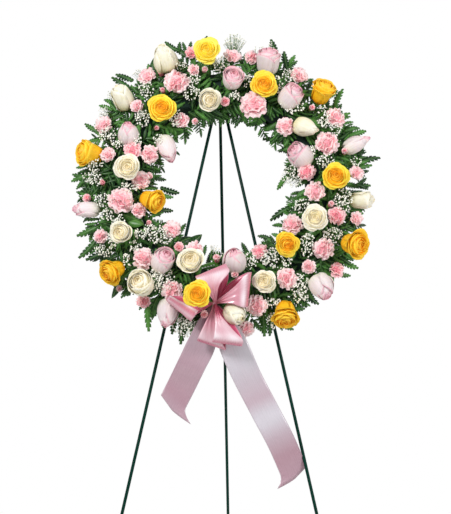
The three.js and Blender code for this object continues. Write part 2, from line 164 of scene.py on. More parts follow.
class Graph:
    """A shader's node tree, with short ways to add nodes and to link or set their inputs."""

    def __init__(self, tree):
        self.tree = tree

    def node(self, kind, **values):
        made = self.tree.nodes.new("ShaderNode" + kind)
        for name, value in values.items():
            setattr(made, name, value)
        return made

    def put(self, socket, source):
        if isinstance(source, bpy.types.NodeSocket):
            self.tree.links.new(source, socket)
        else:
            socket.default_value = source

    def feed(self, node, **sources):
        """Links or sets a node's inputs by name, with _ for a space, and gives its outputs."""
        for name, source in sources.items():
            self.put(node.inputs[name.replace("_", " ")], source)
        return node.outputs

    def reckon(self, operation, *values, kind="Math"):
        made = self.node(kind, operation=operation)
        for socket, value in zip(made.inputs, values):
            self.put(socket, value)
        return made.outputs[0]

    def mix(self, factor, first, second, blend="MIX"):
        made = self.node("Mix", data_type="RGBA", blend_type=blend)
        for index, source in ((0, factor), (6, first), (7, second)):
            self.put(made.inputs[index], source)
        return made.outputs[2]

    def ramp(self, source, low, high, out_low=0.0, out_high=1.0):
        made = self.node("MapRange", clamp=True, interpolation_type="SMOOTHSTEP")
        return self.feed(made, Value=source, From_Min=low, From_Max=high, To_Min=out_low,
                         To_Max=out_high)["Result"]

    def noise(self, place, scale, detail, dimensions="3D", **more):
        made = self.node("TexNoise", noise_dimensions=dimensions)
        return self.feed(made, Vector=place, Scale=scale, Detail=detail, **more)["Fac"]

    def place(self):
        return self.node("TexCoord").outputs["Object"]

    def marks(self):
        """The four numbers that every point of a Bunch carries."""
        marks = self.node("Attribute", attribute_name="marks").outputs
        return *self.feed(self.node("SeparateColor"), Color=marks["Color"]), marks["Alpha"]

    def drawn_out(self, across, along, fineness, length):
        """Places on a sheet for noise that runs along it in streaks."""
        return self.feed(self.node("CombineXYZ"), X=self.reckon("MULTIPLY", across, fineness),
                         Y=self.reckon("MULTIPLY", along, length))[0]


def new_group(name, colours, numbers=()):
    """A shader group that turns its inputs into a colour, a height and a roughness."""
    tree = bpy.data.node_groups.new(name, "ShaderNodeTree")
    sockets = ([(label, "INPUT", "Color") for label in colours]
               + [(label, "INPUT", "Float") for label in numbers]
               + [("Colour", "OUTPUT", "Color"), ("Height", "OUTPUT", "Float"),
                  ("Roughness", "OUTPUT", "Float")])
    for label, way, kind in sockets:
        tree.interface.new_socket(label, in_out=way, socket_type="NodeSocket" + kind)
    return Graph(tree), tree.nodes.new("NodeGroupInput").outputs, tree.nodes.new("NodeGroupOutput")


def petal_group():
    """Petal colour from how far up the petal a point is and how far out the petal stands."""
    graph, given, end = new_group(
        "petal_tissue", ("Heart", "Base", "Body", "Rim"), ("Rim Width", "Blotch"))
    along, ring, chance, across = graph.marks()
    place = graph.place()
    # fine veins that run up the petal, across its width
    veins = graph.noise(graph.reckon("ADD", graph.drawn_out(across, along, 26.0, 2.2), place,
                                     kind="VectorMath"), 1.0, 2.0, "2D")
    blotch = graph.noise(place, 90.0, 3.0)
    colour = graph.mix(graph.ramp(along, 0.1, 0.6), given["Base"], given["Body"])
    rim = graph.ramp(along, graph.reckon("SUBTRACT", 1.0, given["Rim Width"]), 1.0)
    uneven = graph.reckon("MULTIPLY_ADD", blotch, 0.5, 0.7)
    colour = graph.mix(graph.reckon("MULTIPLY", rim, uneven), colour, given["Rim"])
    inner = graph.reckon("MULTIPLY", graph.ramp(ring, 0.0, 0.5, 1.0, 0.0),
                         graph.ramp(along, 0.75, 1.0, 1.0, 0.45))
    colour = graph.mix(inner, colour, given["Heart"])
    darker = graph.mix(given["Blotch"], colour, given["Base"])
    colour = graph.mix(graph.ramp(blotch, 0.48, 0.72), colour, darker)
    veined = graph.mix(1.0, colour, (0.93, 0.92, 0.9, 1), "MULTIPLY")
    colour = graph.mix(graph.ramp(veins, 0.45, 0.7), colour, veined)
    paler = graph.mix(1.0, colour, (1.12, 1.1, 1.08, 1), "MULTIPLY")
    colour = graph.mix(chance, colour, paler)
    graph.feed(end, Colour=colour, Height=veins,
               Roughness=graph.ramp(blotch, 0.3, 0.7, 0.42, 0.6))
    return graph.tree


def leaf_group():
    """Leaf colour with a pale midrib, side veins and a patchy bloom."""
    graph, given, end = new_group("leaf_tissue", ("Dark", "Light", "Vein"), ("Vein Count",))
    along, _, chance, across = graph.marks()
    side = graph.reckon("ABSOLUTE", graph.reckon("SUBTRACT", across, 0.5))
    patch = graph.noise(graph.place(), 55.0, 4.0)
    slant = graph.reckon("SUBTRACT", along, graph.reckon("MULTIPLY", side, 0.35))
    turns = graph.reckon("MULTIPLY", slant, given["Vein Count"])
    stripes = graph.reckon("SINE", graph.reckon("MULTIPLY", turns, math.tau))
    rib = graph.ramp(side, 0.0, 0.06, 1.0, 0.0)
    veins = graph.reckon("MAXIMUM", graph.ramp(stripes, 0.86, 1.0, 0.0, 0.5), rib)
    paleness = graph.reckon("ADD", graph.reckon("MULTIPLY", patch, 0.7),
                            graph.reckon("MULTIPLY", chance, 0.45))
    colour = graph.mix(graph.ramp(paleness, 0.35, 0.85), given["Dark"], given["Light"])
    colour = graph.mix(graph.reckon("MULTIPLY", veins, 0.55), colour, given["Vein"])
    graph.feed(end, Colour=colour, Height=graph.reckon("SUBTRACT", patch, veins),
               Roughness=graph.ramp(patch, 0.3, 0.75, 0.3, 0.5))
    return graph.tree


def coat_group():
    """A dipped or sprayed coat: slight mottling, runs and worn, rubbed spots."""
    graph, given, end = new_group("coat_wear", ("Coat", "Worn"), ("Grain", "Gloss", "Wear"))
    place = graph.place()
    broad = graph.noise(place, 14.0, 5.0, Roughness=0.6)
    fine = graph.noise(place, given["Grain"], 3.0)
    deep = graph.mix(1.0, given["Coat"], (0.72, 0.76, 0.76, 1), "MULTIPLY")
    colour = graph.mix(graph.ramp(broad, 0.35, 0.65), deep, given["Coat"])
    rubbed = graph.ramp(graph.reckon("ADD", broad, graph.reckon("MULTIPLY", fine, 0.35)),
                        0.86, 0.98)
    colour = graph.mix(graph.reckon("MULTIPLY", rubbed, given["Wear"]), colour, given["Worn"])
    gloss = graph.reckon("ADD", given["Gloss"], graph.ramp(broad, 0.3, 0.8, -0.05, 0.14))
    graph.feed(end, Colour=colour, Height=fine, Roughness=gloss)
    return graph.tree


def satin_group():
    """Satin ribbon: fine cross threads, lengthwise pull marks and a woven edge. Its marks
    say how far along a point is, how much painted shade it gets, as deep in a fold, and how much
    painted highlight it gets where it would gleam."""
    graph, given, end = new_group("satin_weave", ("Face", "FoldShade", "Sheen", "Edge"))
    along, painted_shade, painted_gleam, across = graph.marks()
    threads = graph.noise(graph.drawn_out(across, along, 60.0, 7.0), 1.0, 3.0, "2D")
    weave = graph.reckon("SINE", graph.reckon("MULTIPLY", along, 2400.0))
    # painted shade mixed in deep in the loops and folds, then pale painted highlight bands where
    # the ribbon would catch the light
    colour = graph.mix(painted_shade, given["Face"], given["FoldShade"])
    colour = graph.mix(painted_gleam, colour, given["Sheen"])
    pulled = graph.mix(1.0, colour, (0.96, 0.93, 0.95, 1), "MULTIPLY")
    colour = graph.mix(graph.ramp(threads, 0.4, 0.7), colour, pulled)
    edge = graph.ramp(graph.reckon("ABSOLUTE", graph.reckon("SUBTRACT", across, 0.5)),
                      0.47, 0.49)
    colour = graph.mix(graph.reckon("MULTIPLY", edge, 0.6), colour, given["Edge"])
    height = graph.reckon("ADD", graph.reckon("MULTIPLY", weave, 0.3), threads)
    graph.feed(end, Colour=colour, Height=height,
               Roughness=graph.ramp(threads, 0.3, 0.7, 0.24, 0.34))
    return graph.tree


petal_tissue = petal_group()
leaf_tissue = leaf_group()
coat_wear = coat_group()
satin_weave = satin_group()


def finish(name, group, values, bump=0.2, depth=0.2 * MM, **plain):
    """A material whose colour, roughness and bump come from one of the groups above."""
    made = bpy.data.materials.new(name)
    made.use_nodes = True
    graph = Graph(made.node_tree)
    tissue = graph.feed(graph.node("Group", node_tree=group), **values)
    relief = graph.feed(graph.node("Bump"), Strength=bump, Distance=depth,
                        Height=tissue["Height"])
    graph.feed(graph.tree.nodes["Principled BSDF"], Base_Color=tissue["Colour"],
               Normal=relief["Normal"], Roughness=tissue["Roughness"], **plain)
    return made


def petal(name, heart, base, body, rim, rim_width, blotch, translucent=True):
    glow = dict(Subsurface_Weight=0.1, Subsurface_Scale=4 * MM,
                Subsurface_Radius=(1.0, 0.7, 0.5)) if translucent else {}
    return finish(name, petal_tissue, dict(
        Heart=shade(*heart), Base=shade(*base), Body=shade(*body), Rim=shade(*rim),
        Rim_Width=rim_width, Blotch=blotch), Specular_IOR_Level=0.3, **glow)


def leaf(name, dark, light, vein, vein_count, bump=0.5):
    return finish(name, leaf_tissue, dict(
        Dark=shade(*dark), Light=shade(*light), Vein=shade(*vein), Vein_Count=vein_count),
        bump=bump, Specular_IOR_Level=0.28)


def coat(name, colour, worn, grain, gloss, wear, **more):
    return finish(name, coat_wear, dict(
        Coat=shade(*colour), Worn=shade(*worn), Grain=grain, Gloss=gloss, Wear=wear), **more)


# the fold colour is a painted shade colour and the sheen colour a painted highlight colour
def satin(name, face, fold_shade, painted_sheen, edge, bump, specular):
    return finish(name, satin_weave, dict(
        Face=shade(*face), FoldShade=shade(*fold_shade), Sheen=shade(*painted_sheen), Edge=shade(*edge)),
        bump=bump, Specular_IOR_Level=specular)


yellow_petal = petal("yellow_rose_petal", (246, 144, 12), (242, 148, 8), (252, 202, 24),
                     (255, 230, 76), 0.3, 0.3)
lemon_petal = petal("lemon_rose_petal", (246, 190, 30), (244, 196, 20), (250, 224, 44),
                    (254, 238, 104), 0.3, 0.25)
golden_petal = petal("golden_rose_petal", (240, 144, 12), (242, 158, 14), (248, 190, 28),
                     (254, 214, 60), 0.3, 0.35)
white_petal = petal("white_rose_petal", (250, 228, 178), (226, 220, 166), (238, 233, 210),
                    (250, 246, 232), 0.22, 0.4)
pink_petal = petal("pink_rose_petal", (234, 154, 174), (232, 232, 214), (236, 221, 223),
                   (234, 172, 188), 0.12, 0.25)
carnation_petal = petal("pink_carnation_petal", (246, 160, 174), (242, 136, 154),
                        (250, 196, 202), (254, 232, 232), 0.35, 0.5)
coral_petal = petal("coral_carnation_petal", (242, 130, 150), (234, 100, 124),
                    (247, 170, 180), (253, 218, 220), 0.3, 0.55)
gypsophila_petal = petal("gypsophila_petal", (250, 252, 238), (236, 242, 214),
                         (254, 255, 248), (255, 255, 252), 0.4, 0.12, translucent=False)

fern_leaf = leaf("fern_leaf", (12, 48, 20), (78, 134, 56), (110, 156, 84), 8.0)
rose_leaf = leaf("rose_leaf", (16, 56, 22), (80, 132, 58), (122, 160, 92), 6.0)
green_stem = leaf("green_stem", (50, 90, 32), (100, 140, 58), (120, 152, 80), 2.0, bump=0.2)

enamel = coat("green_enamel", (0, 50, 38), (8, 58, 46), 300.0, 0.36, 0.15,
              bump=0.05, Specular_IOR_Level=0.1)
vinyl = coat("green_vinyl", (10, 58, 44), (40, 84, 70), 900.0, 0.5, 0.5, bump=0.3)
zinc = coat("zinc_plate", (190, 192, 190), (120, 120, 116), 1500.0, 0.3, 0.5, Metallic=1.0)
wire_green = coat("green_wire", (16, 66, 34), (90, 96, 84), 800.0, 0.35, 0.4)
tray_plastic = coat("tray_plastic", (14, 48, 34), (30, 70, 54), 700.0, 0.42, 0.4)
foam = coat("wet_floral_foam", (12, 48, 36), (8, 34, 26), 1600.0, 0.8, 0.9,
            bump=0.9, depth=1 * MM)
wood = coat("pick_wood", (176, 140, 92), (120, 88, 52), 900.0, 0.6, 0.6)

# for each satin: face colour, painted shade colour for folds and loop insides, painted highlight
# colour, woven edge colour
bow_satin = satin("pink_satin", (214, 154, 168), (212, 82, 120), (246, 230, 236),
                  (236, 190, 202), 0.04, 1.0)
tail_satin = satin("pink_satin_hanging", (202, 197, 205), (172, 128, 143), (226, 222, 230),
                   (206, 190, 200), 0.03, 0.9)


# ---- shaping tools ------------------------------------------------------------------------

def pick_none():
    """Deselects every object, so that an operator acts only on what is picked next."""
    if bpy.context.object and bpy.context.object.mode != "OBJECT":
        bpy.ops.object.mode_set(mode="OBJECT")
    bpy.ops.object.select_all(action="DESELECT")


def pick_only(piece):
    pick_none()
    piece.select_set(True)
    bpy.context.view_layer.objects.active = piece


def unit_sheet(across, along):
    """A flat grid as numbers: across from -1 to 1, along from 0 to 1, and its faces."""
    pick_none()
    bpy.ops.mesh.primitive_grid_add(x_subdivisions=across, y_subdivisions=along, size=1)
    grid = bpy.context.object
    flat = np.array([vertex.co[:2] for vertex in grid.data.vertices])
    faces = [tuple(face.vertices) for face in grid.data.polygons]
    bpy.data.objects.remove(grid)
    return flat[:, 0] * 2, flat[:, 1] + 0.5, faces


def strip_faces(rows, columns):
    """The faces of a strip whose points run across it row by row."""
    wide = columns + 1
    return [(i * wide + k, i * wide + k + 1, (i + 1) * wide + k + 1, (i + 1) * wide + k)
            for i in range(rows) for k in range(columns)]


MAP_MARGIN = 0.04  # the share of its square on the map that a sheet leaves free on each side

# how thick the sheets are
ROSE_PETAL = 0.5 * MM
CARNATION_PETAL = 0.35 * MM
FERN_BLADE = 0.4 * MM
ROSE_LEAF = 0.5 * MM


class Bunch:
    """Curved sheets gathered into one mesh, each with its own place on the map."""

    def __init__(self):
        self.points, self.faces, self.marks, self.flat, self.finish = [], [], [], [], []
        self.count = 0

    def add(self, points, faces, along, across, ring=0.0, chance=0.5, finish=0):
        """along and across, from 0 to 1, run over the sheet and lay out its map. They are
        also marks for the materials, as are ring, how far out in a flower the sheet stands,
        and chance. finish says which of the bunch's materials it has."""
        self.points.append(points)
        self.faces.append([tuple(i + self.count for i in face) for face in faces])
        self.marks.append(np.column_stack((
            along, np.zeros_like(along) + ring, np.full_like(along, chance), across)))
        self.flat.append(np.column_stack((across, along)))
        self.finish.append(finish)
        self.count += len(points)

    def make(self, name, finishes, thickness=0.0):
        side = math.ceil(math.sqrt(len(self.points)))
        maps, slots = [], []
        for i, (flat, faces) in enumerate(zip(self.flat, self.faces)):
            corner = np.array((i % side, i // side))
            maps.append((corner + MAP_MARGIN + flat * (1 - 2 * MAP_MARGIN)) / side)
            slots += [self.finish[i]] * len(faces)
        mesh = bpy.data.meshes.new(name)
        mesh.from_pydata(np.vstack(self.points).tolist(), [],
                         [face for faces in self.faces for face in faces])
        for material in finishes:
            mesh.materials.append(material)
        mesh.polygons.foreach_set("material_index", slots)
        mesh.polygons.foreach_set("use_smooth", [True] * len(slots))
        marks = mesh.attributes.new("marks", "FLOAT_COLOR", "POINT")
        marks.data.foreach_set("color", np.vstack(self.marks).astype(np.float32).ravel())
        corners = np.empty(len(mesh.loops), dtype=np.int32)
        mesh.loops.foreach_get("vertex_index", corners)
        layer = mesh.uv_layers.new(name="OFBake")
        layer.data.foreach_set("uv", np.vstack(maps)[corners].astype(np.float32).ravel())
        made = bpy.data.objects.new(name, mesh)
        bpy.context.collection.objects.link(made)
        if thickness:
            thicken(made, thickness)
        return made


def thicken(piece, thickness):
    pick_only(piece)
    wall = piece.modifiers.new("wall", "SOLIDIFY")
    wall.thickness = thickness
    wall.offset = 0
    bpy.ops.object.modifier_apply(modifier="wall")


def frame_along(direction, hint=FORWARD):
    """Three square axes, the last along direction, as columns of numbers."""
    up = Vector(direction).normalized()
    side = Vector(hint).cross(up)
    if side.length < 0.05:
        side = ACROSS.cross(up)
    side.normalize()
    return np.array((side, up.cross(side), up))


def tube(bunch, path, radii, sides, chance=0.5, finish=0):
    """A round stem along a path, as thick at each place as radii say."""
    path = [Vector(p) for p in path]
    points, along, across = [], [], []
    last = len(path) - 1
    for i, centre in enumerate(path):
        run = path[min(i + 1, last)] - path[max(i - 1, 0)]
        side, over, _ = frame_along(run, Vector((0.31, 0.52, 0.8)))
        for k in range(sides + 1):
            turn = math.tau * k / sides
            points.append(np.array(centre) + radii[i] * (
                side * math.cos(turn) + over * math.sin(turn)))
            along.append(i / last)
            across.append(k / sides)
    bunch.add(np.array(points), strip_faces(last, sides), np.array(along), np.array(across),
              0.0, chance, finish)


def smooth_path(points, steps):
    """Points evenly spread on a smooth curve through the given ones."""
    points = [Vector(p) for p in points]
    padded = [2 * points[0] - points[1]] + points + [2 * points[-1] - points[-2]]
    out = []
    for i in range(steps + 1):
        at = i / steps * (len(points) - 1)
        k = min(int(at), len(points) - 2)
        t = at - k
        a, b, c, d = padded[k:k + 4]
        out.append(0.5 * ((2 * b) + (c - a) * t + (2 * a - 5 * b + 4 * c - d) * t * t
                          + (3 * b - a - 3 * c + d) * t ** 3))
    return out


# ---- petals -------------------------------------------------------------------------------

def curl_up(along, bends, side_curl=0.0, across=None, steps=20):
    """How far out and up a petal has run, from how it turns away from the flower's axis.
    bends are (share of the petal's length, degrees from the axis)."""
    walked = along[:, None] * np.linspace(0, 1, steps)
    turn = np.interp(walked, [share for share, _ in bends], [angle for _, angle in bends])
    if side_curl:
        late = np.clip((walked - bends[-2][0]) / (1 - bends[-2][0]), 0, 1) ** 2
        turn = turn + side_curl * late * (np.abs(across) ** 1.5)[:, None]
    turn = np.radians(turn)
    return along * np.sin(turn).mean(axis=1), along * np.cos(turn).mean(axis=1)


GOLDEN_ANGLE = 137.5  # from one petal to the next, in degrees
petal_grid = unit_sheet(8, 8)
core_grid = unit_sheet(14, 4)
small_petal_grid = unit_sheet(8, 3)
sepal_grid = unit_sheet(2, 5)


def turned(turn, outward, sideways, upward):
    """Points laid out from a flower's axis, turned about it."""
    return np.column_stack((outward * np.cos(turn) - sideways * np.sin(turn),
                            outward * np.sin(turn) + sideways * np.cos(turn), upward))


def rose_petals(bunch, base, axes, size, height, bloom, chance):
    """Overlapping petals, each a third of a turn and a bit round from the last."""
    across, along, faces = petal_grid
    count = round(blend(10, 30, bloom))
    start = chance.uniform(0, 360)
    for k in range(count):
        out = k / (count - 1)
        wrap = math.radians(blend(150, blend(80, 50, bloom), out ** 0.6))
        reach = size * blend(blend(0.3, 0.05, bloom), 1.0, out ** blend(0.7, 0.86, bloom))
        top = height * (1 - blend(0.12, 0.4, bloom) * out ** 1.8 * chance.uniform(0.85, 1.1)
                        - 0.05 * bloom * (1 - out) ** 8)
        upright = blend(2, blend(-4, 12, bloom), out)
        closing = blend(-46, -34, bloom)
        tip = blend(closing, blend(-40, 92, bloom), out ** blend(1.2, 1.1, bloom))
        tip += chance.uniform(-6, 8)
        point = 0.07 * bloom * out * np.clip(1 - 2 * np.abs(across), 0, 1) * along ** 4
        run = np.clip(along * (1 - 0.26 * np.abs(across) ** 2.8) + point, 0, 1)
        outward, upward = curl_up(
            run, ((0, 82), (0.3, upright + 6), (blend(0.5, 0.68, bloom), upright), (1, tip)),
            side_curl=34 * bloom * out, across=across)
        outward = outward / outward.max() * reach
        upward = upward / upward.max() * top
        outward = outward + size * (0.03 * across + 0.018 * np.sin(
            5 * across + chance.uniform(0, 6)) * along ** 2)
        upward = upward + size * 0.03 * np.sin(4 * across + chance.uniform(0, 6)) * along ** 3
        narrow = 0.4 + 0.6 * np.sin(np.clip(run / 0.6, 0, 1) * math.pi / 2)
        turn = math.radians(start + GOLDEN_ANGLE * k + chance.uniform(-9, 9))
        turn = turn + wrap * across * narrow
        bunch.add(np.array(base) + turned(turn, outward, 0, upward) @ axes, faces, along,
                  across / 2 + 0.5, out, chance.random())


def rose_core(bunch, base, axes, size, height, bloom):
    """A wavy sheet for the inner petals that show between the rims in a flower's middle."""
    across, along, faces = core_grid
    reach = along * blend(0.4, 0.8, bloom)
    up = height * (1 - blend(0.12, 0.4, bloom) * reach ** 1.8 - blend(0.14, 0.09, bloom))
    up = up + size * 0.02 * np.sin(3 * math.pi * across + 9 * along)
    turn = math.pi * across
    bunch.add(np.array(base) + turned(turn, size * reach, 0, up) @ axes, faces,
              0.3 + 0.4 * along, across / 2 + 0.5, 0.22)


def sepals(bunch, base, axes, size, chance):
    """Five pointed green sepals that hang below the petals."""
    across, along, faces = sepal_grid
    for k in range(5):
        outward, upward = curl_up(along, ((0, 70), (0.4, 34), (1, chance.uniform(30, 80))))
        turn = math.radians(72 * k + chance.uniform(-10, 10))
        length = size * chance.uniform(0.5, 0.75)
        width = size * 0.16 * (1 - along) ** 0.7 * across
        local = turned(turn, size * 0.12 + outward * length, width,
                       upward * length - size * 0.04 * (1 - along))
        bunch.add(np.array(base) + local @ axes, faces, along, across / 2 + 0.5, 0.5,
                  chance.random(), 1)


# How a head is turned, where it isn't as its stem points: its axis (right, back, up), how
# wide and how long it is against the CAD solid, and how open, from bud to full flower.
HEADS = {
    "pink": {
        1: ((0.12, -0.85, 0.5), 1.12, 0.9, 0.35), 2: ((0.05, -0.4, 0.92), 1.12, 1.0, 0.35),
        3: ((0.5, -0.62, 0.6), 1.0, 1.05, 0.2), 4: ((0.86, -0.3, 0.4), 0.86, 1.25, 0.0),
        7: ((0.3, -0.42, -0.85), 1.0, 1.3, 0.1), 8: ((-0.97, -0.22, 0.05), 0.9, 1.2, 0.2),
        9: ((0.3, -0.76, 0.56), 0.96, 1.05, 0.22), 11: ((-0.15, -0.45, -0.88), 1.0, 1.1, 0.1),
        12: ((0.42, -0.5, -0.76), 1.0, 1.0, 0.15),
    },
    "white": {
        1: ((-0.3, -0.4, 0.86), 1.16, 1.1, 0.12), 2: ((-0.4, -0.4, 0.82), 0.98, 1.12, 0.2),
        3: ((0.2, -0.95, -0.1), 1.18, 1.0, 0.55), 4: ((0.05, -0.99, 0.08), 1.02, 1.0, 0.75),
        5: ((0.82, -0.5, -0.3), 1.0, 1.15, 0.05), 6: ((0.95, -0.3, 0.02), 1.0, 1.1, 0.3),
        7: ((-0.05, -0.99, 0.08), 1.04, 1.0, 0.9), 8: ((-0.25, -0.96, 0.05), 1.1, 1.0, 0.6),
        9: ((-0.25, -0.86, 0.35), 0.98, 1.05, 0.35), 10: ((-0.1, -0.9, 0.35), 1.04, 1.0, 0.6),
        11: ((-0.1, -0.98, 0.1), 1.06, 1.0, 0.75), 12: ((0.5, -0.74, -0.34), 1.1, 1.15, 0.16),
    },
    "yellow": {
        1: ((-0.1, -0.97, 0.22), 1.1, 0.9, 0.95), 2: ((0.02, -0.99, 0.1), 1.06, 1.0, 1.0),
        3: ((-0.85, -0.5, 0.15), 1.2, 1.15, 0.5), 4: ((0.03, -0.99, 0.12), 1.18, 1.0, 0.95),
        5: ((0.35, -0.5, 0.78), 1.2, 1.05, 0.55), 6: ((0.0, -0.98, 0.14), 1.14, 1.0, 0.85),
        7: ((0.75, -0.6, -0.25), 1.1, 1.1, 0.55), 8: ((-0.6, -0.7, -0.38), 1.1, 1.05, 0.65),
        9: ((0.1, -0.97, -0.1), 1.1, 1.0, 0.8), 10: ((0.62, -0.76, -0.1), 1.16, 1.05, 0.6),
        11: ((-0.04, -0.99, 0.08), 1.06, 1.0, 1.0), 12: ((0.03, -0.62, -0.78), 1.16, 1.0, 0.6),
    },
}
HEAD_ABOVE = 0.58  # the share of a head's height above its CAD solid's widest ring


def rose(name, head, material):
    """A rose in the place and size of its CAD solid, which is turned about its stem."""
    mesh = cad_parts[name].data
    points = [tuple(round(c, 5) for c in p) for p in cad_points(name)]
    used = {}
    for face in mesh.polygons:
        for i in face.vertices:
            used[points[i]] = used.get(points[i], 0) + 1
    # the faces of a turned solid meet at the two ends of its axis
    ends = sorted(sorted(used, key=used.get)[-2:], key=lambda p: Vector(p).dot(FORWARD))
    planted, apex = (Vector(p) for p in ends)
    stem = (apex - planted).normalized()
    widest, widest_at = max(
        (((Vector(p) - planted).cross(stem).length, (Vector(p) - planted).dot(stem))
         for p in used))
    height = ((apex - planted).length - widest_at) / HEAD_ABOVE
    middle = apex - stem * height / 2
    axis, wider, longer, bloom = head or (stem, 1.04, 1.0, clamp(2.6 - height / widest))
    axis = Vector(axis).normalized()
    widest *= wider
    height *= longer
    base = middle - axis * height / 2
    chance = random.Random(name)
    bunch = Bunch()
    axes = frame_along(axis)
    rose_petals(bunch, base, axes, widest, height, bloom, chance)
    rose_core(bunch, base, axes, widest, height, bloom)
    sepals(bunch, base, axes, widest, chance)
    tube(bunch, smooth_path([planted, planted.lerp(base, 0.5) - axis * widest * 0.3,
                             base - axis * widest * 0.28], 5)
         + [base - axis * widest * 0.1, base + axis * widest * 0.1],
         [2.6 * MM] * 5 + [3 * MM, widest * 0.2, widest * 0.17], 8, finish=1)
    piece = bunch.make(name + "_flower", [material, green_stem], ROSE_PETAL)
    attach(piece, "stand")
    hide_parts(name)


OTHER_YELLOWS = {1: lemon_petal, 3: golden_petal, 5: golden_petal, 7: golden_petal,
                 8: golden_petal, 10: golden_petal, 12: golden_petal}
for colour, material, others in (("pink", pink_petal, {}), ("white", white_petal, {}),
                                 ("yellow", yellow_petal, OTHER_YELLOWS)):
    for number in range(1, 13):
        rose(f"rose_{colour}_{number:02d}", HEADS[colour].get(number),
             others.get(number, material))


# ---- spray carnations ---------------------------------------------------------------------

def leaning_out(clock, radius, forward, lean):
    """A place on the wreath and the direction there, leant from straight out to sideways."""
    turn = math.radians(lean)
    return (on_wreath(clock, radius, forward),
            FORWARD * math.cos(turn) + outwards(clock) * math.sin(turn))


FOAM_REACH = (232, 288)  # stems go into the foam between these radii
FOAM_DEPTH = 50


def planted_under(clock, radius):
    """Where a stem with its head above this place goes into the foam."""
    return on_wreath(clock, clamp(radius, *FOAM_REACH), FOAM_DEPTH)


def carnation_petals(bunch, base, axes, size, openness, chance):
    """Fringed fans; the middle ones cross each other, the outer ones lie nearly flat."""
    across, along, faces = small_petal_grid
    count = round(blend(8, 25, openness))
    lobes = [chance.uniform(0, 6) for _ in range(2)]
    for k in range(count):
        out = (k + 0.5) / count
        turn = math.radians(GOLDEN_ANGLE * k + chance.uniform(-12, 12))
        uneven = 1 + openness * (0.13 * math.sin(2 * turn + lobes[0])
                                 + 0.1 * math.sin(3 * turn + lobes[1]))
        spread = blend(blend(4, -24, openness), blend(16, 100, openness), out ** 0.85)
        tooth = np.where(np.round((across + 1) * 4).astype(int) % 2 == 0, -0.06, 0.05)
        run = along * (1 - 0.14 * across ** 2 + tooth * (along > 0.9))
        length = size * uneven * blend(2.0, blend(0.86, 1.1, out), openness)
        outward, upward = curl_up(run, (
            (0, 16), (0.35, spread * 0.35), (1, spread + chance.uniform(-16, 16))))
        ruffle = size * 0.12 * openness * along ** 1.6 * np.sin(
            across * math.tau + chance.uniform(0, 6))
        lay = math.radians(spread)
        outward = size * 0.03 + outward * length - ruffle * math.cos(lay)
        upward = upward * length + ruffle * math.sin(lay)
        width = size * across * blend(0.3 + 0.3 * along, 0.14 + 0.6 * along, openness)
        outward = outward - size * blend(0.28, 0.04, openness) * across ** 2
        bunch.add(np.array(base) + turned(turn, outward, width, upward) @ axes, faces, along,
                  across / 2 + 0.5, out, chance.random())


def carnation(number, clock, radius, size, further=0):
    """A small ruffled flower, or a bud where size is small, on its own thin stem. further is
    how much longer its stem is than its neighbours'."""
    chance = random.Random(number)
    openness = clamp((size - BUD_SIZE) / BUD_SIZE)
    lean = clamp((radius - RING_MIDDLE) * 0.22, -24, 28) + chance.uniform(-12, 12)
    middle, axis = leaning_out(
        clock, radius, bed_height(radius) + 10 + size * 0.5 + further, lean)
    size = size * CARNATION_SPREAD * MM
    axis = (axis + chance.uniform(-0.16, 0.16) * outwards(clock + 90)).normalized()
    base = middle - axis * size * blend(1.2, 0.75, openness)
    bunch = Bunch()
    axes = frame_along(axis)
    carnation_petals(bunch, base, axes, size, openness, chance)
    rose_core(bunch, base, axes, size * blend(0.5, 0.9, openness),
              size * blend(1.7, 0.95, openness), openness)
    collar = size * blend(0.5, 0.22, openness)
    planted = planted_under(clock, radius)
    low = base - axis * collar * 2.2
    tube(bunch, smooth_path([planted, planted.lerp(low, 0.6) + FORWARD * 4 * MM, low], 4)
         + [base - axis * collar * 1.6, base - axis * collar * 0.6, base + axis * collar * 0.9],
         [1.2 * MM] * 5 + [collar * 0.7, collar, collar * 0.9], 7, finish=1)
    petals = coral_petal if number % 4 == 1 or openness == 0 else carnation_petal
    piece = bunch.make(f"spray_carnation_{number:02d}", [petals, green_stem],
                       CARNATION_PETAL)
    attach(piece, "stand")


RING_MIDDLE = 262  # the radius inside which small flowers lean to the middle
BUD_SIZE = 9  # up to this size a carnation is a closed bud, at twice this size it is open
CARNATION_SPREAD = 1.3  # the petals' tips reach past a flower's listed size
# clock, radius and size of each flower, and how much longer its stem is
CARNATIONS = (
    (347, 368, 16), (4, 348, 20), (12, 352, 17), (326, 354, 20), (332, 340, 10),
    (336, 294, 29), (346, 310, 14), (351, 306, 10), (328, 290, 9), (313, 300, 16),
    (298, 346, 20), (328, 198, 17), (1, 216, 13), (311, 224, 8), (337, 182, 10),
    (285, 300, 17), (291, 244, 20), (293, 200, 21), (273, 208, 22), (277, 188, 11),
    (271, 302, 9), (20, 222, 31), (33, 354, 22), (58, 336, 24), (48, 300, 10),
    (46, 216, 21), (68, 280, 27), (74, 316, 10), (81, 210, 20), (84, 336, 17),
    (260, 258, 29), (252, 220, 17), (265, 342, 12), (242, 210, 9), (229, 170, 20),
    (247, 332, 17), (215, 194, 13), (226, 274, 23), (225, 364, 10), (205, 298, 23),
    (214, 352, 15), (203, 180, 20), (185, 188, 11), (173, 232, 11), (152, 192, 18),
    (147, 286, 23), (165, 318, 24), (171, 364, 18), (188, 338, 11, 50), (95, 228, 23),
    (121, 198, 24), (101, 272, 10), (106, 292, 20), (104, 342, 16), (124, 296, 24),
    (135, 296, 16), (127, 352, 17),
)
for number, row in enumerate(CARNATIONS, 1):
    carnation(number, *row)


# ---- fern and leaves ----------------------------------------------------------------------

